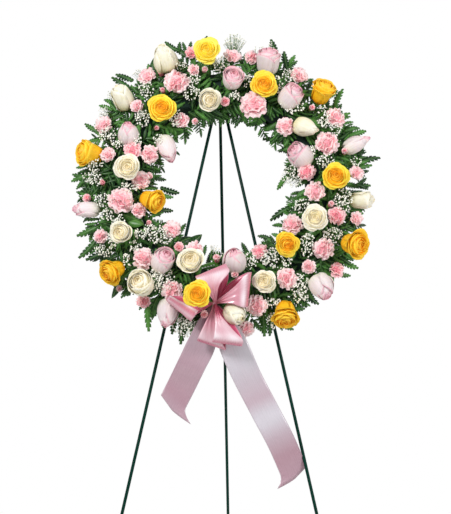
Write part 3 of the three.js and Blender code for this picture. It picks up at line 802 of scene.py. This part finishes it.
def lobed_blade(lobes, notch):
    """A flat fern blade: along from 0 to 1, across from -1 to 1, and its faces."""
    def wide(x):
        return (1 - x) ** 0.75 * (0.42 + 1.7 * x) / 0.98
    along, across, faces = [], [], []

    def point(x, y):
        along.append(min(x, 1.0))
        across.append(y)
        return len(along) - 1

    rib = [point(i / lobes, 0) for i in range(lobes + 1)]
    for side in (-1, 1):
        inner = [point((i + 0.12) / lobes, side * notch * wide(i / lobes))
                 for i in range(lobes)] + [rib[-1]]
        for i in range(lobes):
            tip = point((i + 1.15) / lobes, side * wide((i + 0.6) / lobes))
            back = point((i + 0.5) / lobes, side * 0.9 * wide((i + 0.4) / lobes))
            quad = (rib[i], rib[i + 1], inner[i + 1], inner[i])
            lobe = (inner[i], inner[i + 1], tip, back)
            if i == lobes - 1:
                quad = (rib[i], rib[i + 1], inner[i])
            for face in (quad, lobe):
                faces.append(face if side < 0 else face[::-1])
    return np.array(along), np.array(across), faces


broad_blade = lobed_blade(7, 0.5)
small_blade = lobed_blade(5, 0.55)


def oval_leaf():
    across, along, faces = unit_sheet(4, 6)
    return along, across * np.sin(np.clip(along, 0.02, 0.99) * math.pi) ** 0.7 * (
        1.25 - 0.5 * along), faces


plain_leaf = oval_leaf()


def lay_blade(bunch, shape, root, tip, width, face, arch, chance):
    """Lays a blade from root to tip, its upper side towards face, arched and a little folded."""
    along, across, faces = shape
    run = tip - root
    side = run.cross(face).normalized()
    up = side.cross(run).normalized()
    rise = run.length * arch * 4 * along * (1 - along) - width * 0.22 * np.abs(across)
    sway = run.length * chance.uniform(-0.08, 0.08) * np.sin(along * math.pi)
    points = (np.array(root) + np.outer(along, run) + np.outer(across * width / 2 + sway, side)
              + np.outer(rise, up))
    bunch.add(points, faces, along, across / 2 + 0.5, 0.5, chance.random())


def frond(bunch, root, tip, face, spread, pairs, chance):
    """A fern tip: a midrib with pairs of blades that shorten towards its end."""
    run = tip - root
    side = run.cross(face).normalized()
    tube(bunch, smooth_path([root, root.lerp(tip, 0.5) + face * run.length * 0.05, tip], 3),
         [1.3 * MM, 1.1 * MM, 0.8 * MM, 0.3 * MM], 4, chance=0.2)
    for i in range(pairs):
        at = 0.1 + 0.52 * i / (pairs - 1)
        for hand in (-1, 1):
            start = root.lerp(tip, at + 0.04 * hand) + face * run.length * 0.03
            out = (run.normalized() * chance.uniform(0.5, 0.8) + side * hand
                   + face * chance.uniform(-0.1, 0.3)).normalized()
            length = spread * (1 - at) ** 0.6 * chance.uniform(0.85, 1.1)
            lay_blade(bunch, small_blade, start, start + out * length, length * 0.36, face,
                      0.06, chance)
    lay_blade(bunch, broad_blade, root.lerp(tip, 0.55), tip + run * 0.12, spread * 0.42, face,
              0.04, chance)


SECTORS = 12
fern_sprays = [Bunch() for _ in range(SECTORS)]


def fern_at(clock):
    return fern_sprays[int(clock % 360 // (360 / SECTORS))]


# radius of each row of fronds, how many, which way they point, how deep they are laid and
# how many pairs of blades each has
FERN_ROWS = ((192, 22, 180, 5, 4), (214, 26, 160, 5, 4), (238, 30, 90, 5, 4),
             (262, 34, 40, 5, 4), (286, 36, 20, 5, 4), (310, 38, 0, 5, 4), (330, 34, 0, 5, 4),
             (246, 24, 80, 9, 2), (288, 26, 250, 8, 2))
FERN_REACH = (172, 366)


def bed_of_fern():
    """Fronds laid over the foam, their tips outwards, inwards and along the ring."""
    chance = random.Random(11)
    for radius, count, heading, depth, pairs in FERN_ROWS:
        for k in range(count):
            clock = 360 * (k + chance.uniform(-0.4, 0.4)) / count
            turn = math.radians(heading + chance.uniform(-75, 75))
            place = radius + chance.uniform(-8, 8)
            length = chance.uniform(56, 76)
            reach = place + length * math.cos(turn)
            limit = clamp(reach, *FERN_REACH)
            if reach != limit:
                length *= max((limit - place) / (reach - place), 0.5)
            root = on_wreath(clock, place, bed_height(place) - depth)
            out = outwards(clock) * math.cos(turn) + outwards(clock + 90) * math.sin(turn)
            tip = root + out * length * MM
            reach = (tip - RING).dot(outwards(clock)) / MM
            tip += FORWARD * (bed_height(reach) - bed_height(place) + chance.uniform(-8, 10)
                              ) * MM
            face = (FORWARD + 0.3 * outwards(clock) * math.cos(turn)).normalized()
            frond(fern_at(clock), root, tip, face, length * 0.68 * MM, pairs, chance)


# Blades that show against the light round the outside and in the ring's middle: clock and
# radius of the tip, then of the root.
OUTER_BLADES = (
    (318, 416, 321, 366), (316, 414, 318, 350), (330, 390, 329, 350), (308, 390, 308, 350),
    (296, 394, 295, 346), (279, 380, 281, 345), (277, 374, 279, 330), (276, 386, 273, 345),
    (273, 386, 275, 340), (270, 372, 275, 352), (271, 368, 275, 326), (268, 366, 271, 318),
    (265, 364, 266, 330), (252, 388, 253, 322), (244, 404, 248, 340), (242, 390, 241, 318),
    (239, 352, 241, 318), (207, 408, 214, 340), (214, 374, 214, 340), (211, 352, 210, 305),
    (339, 422, 343, 380), (344, 412, 343, 372), (345, 406, 345, 368), (348, 402, 347, 366),
    (341, 398, 346, 356), (341, 370, 344, 330), (354, 412, 350, 372), (17, 420, 22, 366),
    (23, 402, 28, 352), (27, 406, 28, 350), (29, 392, 27, 348), (38, 376, 35, 340),
    (48, 394, 48, 352), (49, 406, 54, 350), (53, 380, 55, 344), (63, 370, 63, 330),
    (65, 384, 64, 340), (67, 396, 67, 346), (65, 356, 64, 308), (78, 408, 80, 336),
    (75, 364, 79, 338), (88, 374, 89, 328), (85, 364, 89, 336), (90, 366, 88, 334),
    (91, 348, 91, 300), (121, 394, 122, 340), (125, 388, 128, 350), (131, 362, 130, 318),
    (148, 364, 149, 322), (141, 378, 144, 328), (150, 368, 151, 334), (165, 390, 163, 330),
    (163, 392, 161, 344), (158, 390, 159, 354), (154, 398, 159, 370),
    (187, 388, 189, 336), (191, 396, 192, 340), (195, 390, 196, 338), (199, 392, 200, 340),
    (203, 384, 203, 330), (195, 410, 198, 350), (305, 390, 306, 350),
)
INNER_BLADES = (
    (37, 166, 55, 204), (54, 174, 58, 206), (68, 168, 71, 196), (72, 162, 77, 194),
    (89, 136, 77, 170), (94, 170, 93, 202), (105, 164, 102, 196), (124, 142, 104, 182),
    (126, 152, 123, 180), (144, 146, 138, 182), (147, 168, 138, 188), (19, 180, 28, 214),
    (10, 180, 6, 208), (5, 178, 3, 206), (360, 174, 358, 206), (351, 182, 353, 214),
    (345, 178, 345, 212), (340, 182, 335, 212), (334, 180, 331, 212), (318, 176, 323, 216),
    (327, 164, 327, 208), (299, 174, 299, 206), (294, 166, 292, 200), (287, 164, 285, 196),
    (281, 148, 280, 188), (228, 128, 223, 170), (206, 158, 211, 176), (161, 142, 161, 182),
    (197, 150, 197, 190), (191, 160, 192, 198), (202, 164, 202, 200),
    (267, 112, 271, 160), (262, 128, 266, 168), (247, 138, 252, 178),
)


def edge_blades(rows, tip_forward, root_forward, seed):
    chance = random.Random(seed)
    for clock, radius, root_clock, root_radius in rows:
        tip = on_wreath(clock, radius, tip_forward + chance.uniform(-8, 8))
        root = on_wreath(root_clock, root_radius, root_forward)
        run = tip - root
        lay_blade(fern_at(clock), broad_blade, root, tip,
                  clamp(run.length * 0.42, 13 * MM, 26 * MM),
                  (FORWARD + outwards(clock + 90) * chance.uniform(-0.4, 0.4)).normalized(),
                  chance.uniform(0.02, 0.08), chance)


def back_fringe():
    """Short blades that hide the tray's rims from the side, outside and in the middle."""
    chance = random.Random(5)
    for k in range(40):
        clock = 9 * k + chance.uniform(-3, 3)
        root = on_wreath(clock, 306, 40)
        tip = on_wreath(clock + chance.uniform(-7, 7), chance.uniform(338, 366),
                        chance.uniform(16, 30))
        lay_blade(fern_at(clock), broad_blade, root, tip, 24 * MM,
                  (FORWARD + outwards(clock)).normalized(), 0.06, chance)
        clock += 4.5
        for low, radius in ((34, 192), (68, 186)):
            root = on_wreath(clock, 214, low + 12)
            tip = on_wreath(clock + chance.uniform(-14, 14), radius + chance.uniform(-10, 6),
                            low + chance.uniform(-16, 6))
            lay_blade(fern_at(clock), broad_blade, root, tip, 22 * MM,
                      (FORWARD - outwards(clock)).normalized(), 0.08, chance)


bed_of_fern()
edge_blades(OUTER_BLADES, 44, 58, 21)
edge_blades(INNER_BLADES, 38, 56, 22)
back_fringe()
for number, bunch in enumerate(fern_sprays, 1):
    piece = bunch.make(f"fern_spray_{number:02d}", [fern_leaf], FERN_BLADE)
    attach(piece, "stand")
    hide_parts("greenery")


# ---- rose leaves --------------------------------------------------------------------------

# clock and radius of the tip, then of the root, and the width
ROSE_LEAVES = (
    (333, 396, 330, 350, 20), (225, 394, 228, 350, 18), (205, 128, 212, 172, 24),
    (212, 146, 220, 186, 24), (189, 412, 190, 370, 26), (318, 280, 325, 240, 34),
    (91, 350, 96, 300, 26), (131, 364, 128, 310, 30), (202, 360, 208, 306, 34),
    (352, 330, 349, 290, 34), (58, 290, 50, 260, 30), (115, 270, 122, 232, 34),
    (238, 250, 230, 290, 34), (160, 270, 152, 236, 34), (280, 270, 274, 236, 30),
    (8, 250, 2, 216, 28), (195, 240, 200, 200, 30), (300, 270, 306, 300, 28),
    (70, 240, 62, 210, 28), (250, 300, 244, 262, 30), (140, 340, 134, 300, 30),
    (176, 280, 182, 246, 30), (220, 320, 214, 286, 30), (36, 300, 42, 330, 26),
    (253, 262, 246, 226, 36), (243, 222, 250, 254, 34), (262, 222, 254, 246, 30),
    (208, 378, 210, 318, 24), (207, 356, 206, 296, 28),
)


def rose_leaves():
    chance = random.Random(31)
    for number, (clock, radius, root_clock, root_radius, width) in enumerate(ROSE_LEAVES, 1):
        bunch = Bunch()
        root = on_wreath(root_clock, root_radius, bed_height(root_radius) - 6)
        tip = on_wreath(clock, radius, bed_height(radius) + 6)
        lay_blade(bunch, plain_leaf, root, tip, width * MM, (
            FORWARD + 0.4 * outwards(chance.uniform(0, 360))).normalized(), 0.07, chance)
        planted = planted_under(root_clock, root_radius)
        tube(bunch, smooth_path([planted, planted.lerp(root, 0.6), root], 3),
             [1.2 * MM, 1.1 * MM, 1 * MM, 0.6 * MM], 5, finish=1)
        piece = bunch.make(f"rose_leaf_{number:02d}", [rose_leaf, green_stem], ROSE_LEAF)
        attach(piece, "stand")


rose_leaves()


# ---- gypsophila ---------------------------------------------------------------------------

BLOSSOM_FLATNESS = 0.7
BLOSSOM_ROOM = 21  # square millimetres of the cloud for each blossom


def tiny_blossom():
    """A puff of petals a few millimetres across: a coarse ball, every other point drawn in."""
    pick_none()
    bpy.ops.mesh.primitive_ico_sphere_add(subdivisions=1, radius=1)
    ball = bpy.context.object
    points = np.array([vertex.co[:] for vertex in ball.data.vertices])
    faces = [tuple(face.vertices) for face in ball.data.polygons]
    bpy.data.objects.remove(ball)
    drawn = np.where(np.arange(len(points)) % 2 == 0, 1.0, 0.66)
    return points * drawn[:, None] * (1, 1, BLOSSOM_FLATNESS), faces


blossom_points, blossom_faces = tiny_blossom()

# clock and radius of each cloud of blossom, then its half width and half height
GYPSOPHILA = (
    (4, 394, 32, 20), (14, 384, 15, 8), (18, 394, 8, 14), (340, 338, 24, 12),
    (345, 284, 17, 14), (341, 250, 22, 17), (359, 316, 22, 22), (322, 320, 20, 22),
    (310, 266, 20, 22), (13, 276, 12, 20), (7, 232, 14, 14), (28, 296, 12, 24),
    (30, 334, 17, 20), (41, 264, 32, 17), (55, 308, 17, 30), (63, 318, 17, 17),
    (98, 302, 24, 30), (77, 260, 24, 17), (82, 176, 32, 27), (106, 202, 22, 20),
    (69, 234, 12, 17), (79, 340, 14, 12), (127, 260, 20, 30), (145, 230, 42, 27),
    (144, 324, 24, 37), (116, 300, 27, 20), (158, 322, 24, 14), (160, 360, 17, 20),
    (194, 364, 40, 27), (212, 286, 32, 34), (230, 204, 32, 24), (294, 320, 22, 20),
    (291, 284, 17, 12), (311, 376, 17, 12), (303, 366, 17, 17), (324, 378, 14, 10),
    (298, 282, 17, 20), (280, 328, 22, 22), (273, 320, 17, 20), (268, 234, 27, 14),
    (262, 302, 22, 17), (255, 300, 17, 17), (250, 274, 14, 14), (237, 218, 17, 17),
    (234, 272, 17, 14), (238, 240, 17, 14), (241, 342, 22, 17), (243, 308, 14, 22),
    (231, 306, 12, 17), (216, 280, 14, 17), (325, 212, 17, 22), (297, 246, 14, 17),
    (355, 334, 14, 14), (332, 294, 12, 12), (188, 158, 14, 10), (161, 206, 17, 22),
    (178, 184, 14, 12), (249, 282, 17, 12), (274, 340, 14, 14), (306, 202, 14, 14),
)


def gypsophila(number, clock, radius, half_width, half_height):
    """A cloud of tiny blossoms, each on a thread of stem from one fork."""
    chance = random.Random(100 + number)
    bunch = Bunch()
    up = (blossom_points[:, 2] / BLOSSOM_FLATNESS + 1) / 2
    around = (np.arctan2(blossom_points[:, 1], blossom_points[:, 0]) / math.pi + 1) / 2
    middle = on_wreath(clock, radius, bed_height(radius) + 20)
    planted = planted_under(clock, radius)
    fork = planted.lerp(middle, 0.5)
    tube(bunch, [planted, planted.lerp(fork, 0.5), fork], [0.9 * MM, 0.8 * MM, 0.6 * MM], 4,
         finish=1)
    count = round(math.pi * half_width * half_height / BLOSSOM_ROOM)
    for _ in range(count):
        turn = chance.uniform(0, math.tau)
        far = math.sqrt(chance.random())
        place = (middle + ACROSS * math.cos(turn) * far * half_width * MM
                 + UPHILL * math.sin(turn) * far * half_height * MM
                 + FORWARD * (chance.uniform(-9, 9) + 8 * (1 - far)) * MM)
        stem_run = place - fork
        bend = fork + stem_run * 0.55 + FORWARD * chance.uniform(-3, 3) * MM
        tube(bunch, [fork, bend, place], [0.35 * MM, 0.3 * MM, 0.25 * MM], 3,
             chance=chance.random(), finish=1)
        wide = chance.uniform(1.9, 3.1) * MM
        axes = frame_along(stem_run + FORWARD * 20 * MM, Vector((chance.random(), 0.4, 0.3)))
        ball = np.array(place) + blossom_points * wide @ axes
        bunch.add(ball, blossom_faces, up, around, chance.random(), chance.random())
    piece = bunch.make(f"gypsophila_{number:02d}", [gypsophila_petal, green_stem])
    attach(piece, "stand")


for number, row in enumerate(GYPSOPHILA, 1):
    gypsophila(number, *row)


# ---- bow ----------------------------------------------------------------------------------
# Places on the bow are millimetres to the right of the knot, behind it and above it.

KNOT = Vector(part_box("bow_knot")[0]).lerp(Vector(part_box("bow_knot")[1]), 0.5)
RIBBON = 70
RIBBON_THICKNESS = 0.6
RIBBON_COLUMNS = 16
LOOP_STEPS = 52
LOOP_PLEAT = 4.4  # how deep a loop's pleats are at the knot
TAIL_STEPS = 60
BINDING_STEPS = 32


def ribbon(name, edges, material, pleats):
    """A strip of ribbon. Each row has the places of its two edges in millimetres, how deep
    it is pleated there and its tone of painted light, from 1, full painted shade as deep in a
    fold, to -1, a full painted highlight where it would gleam."""
    points, along, across, painted_shade, painted_gleam = [], [], [], [], []
    last = len(edges) - 1
    for i, (left, right, pleat, tone) in enumerate(edges):
        after, before = edges[min(i + 1, last)], edges[max(i - 1, 0)]
        run = after[0] + after[1] - before[0] - before[1]
        up = (right - left).cross(run).normalized()
        for k in range(RIBBON_COLUMNS + 1):
            share = k / RIBBON_COLUMNS
            wave = math.cos((2 * share - 1) * math.pi * pleats + 0.6)
            points.append(np.array(KNOT + (left.lerp(right, share) + up * pleat * wave) * MM))
            along.append(i / last)
            across.append(share)
            # the far side of a pleat is in shadow
            shadow = 0.5 * max(wave * up.y, 0) * min(pleat / 4, 1)
            painted_shade.append(clamp(max(tone, 0) + shadow))
            # painted highlight bands, uneven across the ribbon's width
            painted_gleam.append(max(-tone, 0) * (0.75 + 0.25 * math.cos(share * 9)))
    bunch = Bunch()
    # here the ring mark carries the painted shade and the chance mark the painted highlight
    bunch.add(np.array(points), strip_faces(last, RIBBON_COLUMNS), np.array(along),
              np.array(across), np.array(painted_shade), np.array(painted_gleam))
    piece = bunch.make(name, [material], RIBBON_THICKNESS * MM)
    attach(piece, "stand")
    return piece


def bow_loop(name, rows):
    """One loop: out from the knot, round a soft bend and back over itself to the knot. Each
    row is one edge's place and the other's, the depth that both share and the tone: painted
    shade where it is above 0, inside the loop and near the knot, and a painted highlight where
    it is below 0, mostly just past the far bend."""
    lefts = smooth_path([(x, depth, z) for (x, z), _, depth, _ in rows], LOOP_STEPS)
    rights = smooth_path([(x, depth, z) for _, (x, z), depth, _ in rows], LOOP_STEPS)
    tones = smooth_path([(tone, 0, 0) for _, _, _, tone in rows], LOOP_STEPS)
    edges = []
    for i in range(LOOP_STEPS + 1):
        near = abs(2 * i / LOOP_STEPS - 1) ** 2.4  # 1 at the knot, 0 at the far bend
        edges.append((lefts[i], rights[i], LOOP_PLEAT * near, clamp(tones[i].x, -1)))
    piece = ribbon(name, edges, bow_satin, 3.0)
    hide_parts("bow_loops")


bow_loop("bow_loop_upper_left", (
    ((-3, 0), (4, 1), 4, 1), ((-14, 32), (25, 32), 8, 1), ((-41, 62), (34, 68), 4, 0.9),
    ((-46, 66), (27, 96), -10, 0.3), ((-46, 64), (31, 90), -20, 0.1),
    ((-42, 57), (35, 76), -27, -0.8), ((-21, 32), (12, 46), -30, 0.0),
    ((-4, 9), (5, 20), -18, 0.2), ((-2, 1), (3, 1), -6, 0.6)))
bow_loop("bow_loop_upper_right", (
    ((3, 4), (4, -1), 4, 1), ((32, 46), (44, 6), 6, 1), ((72, 72), (73, 0), 0, 0.8),
    ((89, 76), (80, -8), -12, 0.55), ((85, 75), (77, -9), -24, 0.35),
    ((73, 69), (69, -9), -33, -1), ((60, 54), (57, -5), -33, 0.05),
    ((46, 39), (42, 0), -30, 0.0), ((17, 15), (18, 1), -20, 0.2),
    ((3, 3), (5, -1), -6, 0.7)))
bow_loop("bow_loop_left", (
    ((-3, 2), (-2, -2), 6, 1), ((-52, 12), (-28, -18), 12, 1),
    ((-113, 14), (-49, -31), 8, 0.8), ((-118, 7), (-58, -44), -4, 0.6),
    ((-115, 11), (-53, -37), -15, -0.4), ((-112, 15), (-46, -27), -17, 0.4),
    ((-109, 19), (-40, -19), -12, -1), ((-106, 19), (-38, -18), -4, 0.7),
    ((-92, 18), (-36, -18), 0, 0.8), ((-50, 13), (-23, -13), -5, 0.7),
    ((-3, 1), (-2, -1), -6, 0.8)))
bow_loop("bow_loop_lower_left", (
    ((-4, -1), (1, -1), 4, 1), ((-17, -44), (21, -46), 8, 1), ((-37, -81), (27, -99), 4, 0.8),
    ((-42, -91), (27, -114), -2, 0.6), ((-42, -87), (25, -109), -14, 0.5),
    ((-38, -78), (20, -97), -23, -0.7), ((-23, -46), (5, -52), -20, 0.15),
    ((-8, -14), (1, -17), -14, 0.3), ((-4, -2), (1, -2), -6, 0.7)))
bow_loop("bow_loop_lower_right", (
    ((-1, -1), (3, -1), 0, 1), ((3, -41), (32, -29), -8, 1), ((-2, -81), (65, -79), -16, 0.8),
    ((-6, -92), (66, -102), -24, 0.6), ((-6, -90), (67, -99), -38, 0.55),
    ((-2, -78), (68, -87), -48, -1), ((0, -64), (48, -66), -46, -0.45),
    ((1, -46), (27, -42), -40, -0.35), ((1, -20), (13, -23), -28, 0.75),
    ((-1, -2), (3, -2), -8, 0.8)))


RIPPLE_LENGTH = 0.42  # of a tail's length
BEND_REACH = 110  # the cut's slant grows over this much of the tail's end
FLICK_REACH = 34  # the flicked corner is this large


def bow_tail(name, node, rows, slant, waves, flick, tones):
    """A hanging end. Each row is a place, the direction across and the half width; the cut
    runs on a slant, one corner lower than the other by twice slant, and that corner is
    flicked aside. waves are how deep the ribbon ripples and the ripple that it starts with;
    tones are pairs of a share of the length and the tone there: painted shade bands where it
    is above 0 and painted highlight bands where it is below 0, standing in for how the ripples
    catch the light."""
    middles = smooth_path([row[0] for row in rows], TAIL_STEPS)
    crosses = smooth_path([row[1] for row in rows], TAIL_STEPS)
    halves = smooth_path([(row[2], 0, 0) for row in rows], TAIL_STEPS)
    edges = []
    for i in range(TAIL_STEPS + 1):
        share = i / TAIL_STEPS
        ripple = -waves[0] * math.sin(math.tau * (share - waves[1]) / RIPPLE_LENGTH)
        middle = middles[i] + Vector((0, ripple * min(share * 3, 1), 0))
        cross = crosses[i].normalized() * halves[i].x
        edges.append((middle - cross, middle + cross, 3.2 * (1 - share) ** 4,
                      float(np.interp(share, *zip(*tones)))))
    piece = ribbon(name, edges, tail_satin, 1.5)
    end = edges[-1][0].lerp(edges[-1][1], 0.5)
    run = (end - edges[-6][0].lerp(edges[-6][1], 0.5)).normalized()
    cross = crosses[-1].normalized()
    corner = end + cross * math.copysign(RIBBON / 2, slant) + run * abs(slant)
    for vertex in piece.data.vertices:
        spot = (vertex.co - KNOT) / MM
        late = clamp(1 + (spot - end).dot(run) / BEND_REACH) ** 2
        spot += run * slant * late * (spot - end).dot(cross) / (RIBBON / 2)
        close = max(1 - (spot - corner).length / FLICK_REACH, 0) ** 1.6
        vertex.co = KNOT + (spot + Vector(flick) * close) * MM
    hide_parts(node)


bow_tail("bow_tail_left", "ribbon_tail_left", (
    ((-2, 12, -8), (1, 0, -0.3), 8), ((-13, 22, -44), (1, 0, -0.4), 24),
    ((-32, 28, -100), (1, -0.1, -0.44), 35), ((-56, 38, -150), (1, -0.1, -0.5), 35),
    ((-82, 52, -204), (1, 0, -0.52), 35), ((-111, 62, -261), (1, 0.16, -0.52), 35)),
    18, (4, 0.1), (30, -16, -8),
    ((0, 1), (0.3, 0.75), (0.4, 0.55), (0.62, 0.75), (0.9, 0.85), (1, 0.7)))
bow_tail("bow_tail_right", "ribbon_tail_right", (
    ((4, 12, -8), (1, 0, 0.3), 8), ((20, 24, -44), (1, 0, 0.4), 24),
    ((44, 24, -100), (1, 0, 0.46), 35), ((80, 16, -182), (1, 0.1, 0.46), 35),
    ((122, 12, -262), (1, 0.16, 0.46), 35), ((163, 16, -340), (1, 0.24, 0.44), 35),
    ((201, 30, -430), (1, 0.3, 0.42), 35)), -14, (9, 0.25), (-22, -16, 0),
    ((0, 1), (0.25, 0.3), (0.38, -0.2), (0.51, 0.2), (0.61, 0.5), (0.7, -0.2), (0.8, 0.45),
     (0.89, 0.9), (1, 0.8)))


def bow_binding():
    """A gathered strip drawn round the middle of the bow, over, behind and under."""
    edges = []
    for i in range(BINDING_STEPS + 1):
        turn = math.tau * i / BINDING_STEPS
        middle = Vector((0, 1 - math.cos(turn) * 12, math.sin(turn) * 6))
        edges.append((middle - Vector((5, 0, 0.6)), middle + Vector((5, 0, 0.6)), 0.7, 0.0))
    piece = ribbon("bow_binding", edges, bow_satin, 3.0)
    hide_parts("bow_knot")


bow_binding()


# ---- easel --------------------------------------------------------------------------------

ROD_RADIUS = 4 * MM
ROD_SIDES = 24
ROD_ROUNDING = 1.2 * MM
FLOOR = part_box("foot_cap_left")[0][2]


def select_edges(piece, wanted):
    """Edit mode with only the edges picked whose two ends satisfy wanted."""
    bpy.ops.object.mode_set(mode="EDIT")
    bpy.ops.mesh.select_all(action="DESELECT")
    bpy.ops.mesh.select_mode(type="EDGE")
    bpy.ops.object.mode_set(mode="OBJECT")
    for edge in piece.data.edges:
        ends = [piece.data.vertices[i].co for i in edge.vertices]
        edge.select = wanted(*ends)
    bpy.ops.object.mode_set(mode="EDIT")


def steel_rod(name, start, end):
    """A straight round enamelled rod with its cut ends eased."""
    run = end - start
    half = run.length / 2
    pick_none()
    bpy.ops.mesh.primitive_cylinder_add(vertices=ROD_SIDES, radius=ROD_RADIUS, depth=run.length)
    piece = bpy.context.object
    piece.name = name
    piece.data.name = name
    select_edges(piece, lambda a, b: abs(a.z - b.z) < 1e-6 and abs(abs(a.z) - half) < 1e-6)
    bpy.ops.mesh.bevel(offset=ROD_ROUNDING, segments=3)
    bpy.ops.object.mode_set(mode="OBJECT")
    piece.rotation_euler = run.to_track_quat("Z", "Y").to_euler()
    piece.location = (start + end) / 2
    pick_only(piece)
    bpy.ops.object.transform_apply(location=True, rotation=True, scale=True)
    bpy.ops.object.shade_smooth_by_angle(angle=math.radians(40))
    piece.data.materials.append(enamel)
    return piece


def rod_ends(node):
    """The middles of the two ends of a rod's CAD solid, the upper one first."""
    points = cad_points(node)
    middle = points.mean(axis=0)
    axis = np.linalg.svd(points - middle, full_matrices=False)[2][0]
    along = (points - middle) @ axis
    ends = [Vector(points[along > along.max() - 2 * MM].mean(axis=0)),
            Vector(points[along < along.min() + 2 * MM].mean(axis=0))]
    return sorted(ends, key=lambda end: -end.z)


for side in ("left", "right"):
    leg = steel_rod("front_leg_rod_" + side, *rod_ends("front_leg_" + side))
    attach(leg, "stand")
    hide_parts("front_leg_" + side)

for material, nodes in (
        (enamel, ("head_bracket", "top_hook", "rest_hook_left", "rest_hook_right", "rear_leg")),
        (vinyl, ("foot_cap_left", "foot_cap_right", "foot_cap_rear")),
        (zinc, ("hinge_bolt", "hinge_nut")), (wire_green, ("hanging_wire",)),
        (tray_plastic, ("ring_tray",)), (foam, ("foam_ring",)), (wood, ("bow_pick",))):
    for node in nodes:
        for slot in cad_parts[node].material_slots:
            slot.material = material


def studio_floor():
    pick_none()
    bpy.ops.mesh.primitive_circle_add(vertices=96, radius=1.7, fill_type="NGON",
                                      location=(0, 0, FLOOR - 0.5 * MM))
    floor = bpy.context.object
    floor.name = "studio_floor"
    paint = bpy.data.materials.new("pale_floor")
    paint.use_nodes = True
    shader = paint.node_tree.nodes["Principled BSDF"]
    shader.inputs["Base Color"].default_value = shade(236, 236, 234)
    shader.inputs["Roughness"].default_value = 0.8
    floor.data.materials.append(paint)


studio_floor()


# ---- a box's corners as plain numbers -----------------------------------------------------

def plain(box):
    return [[float(c) for c in corner] for corner in box]
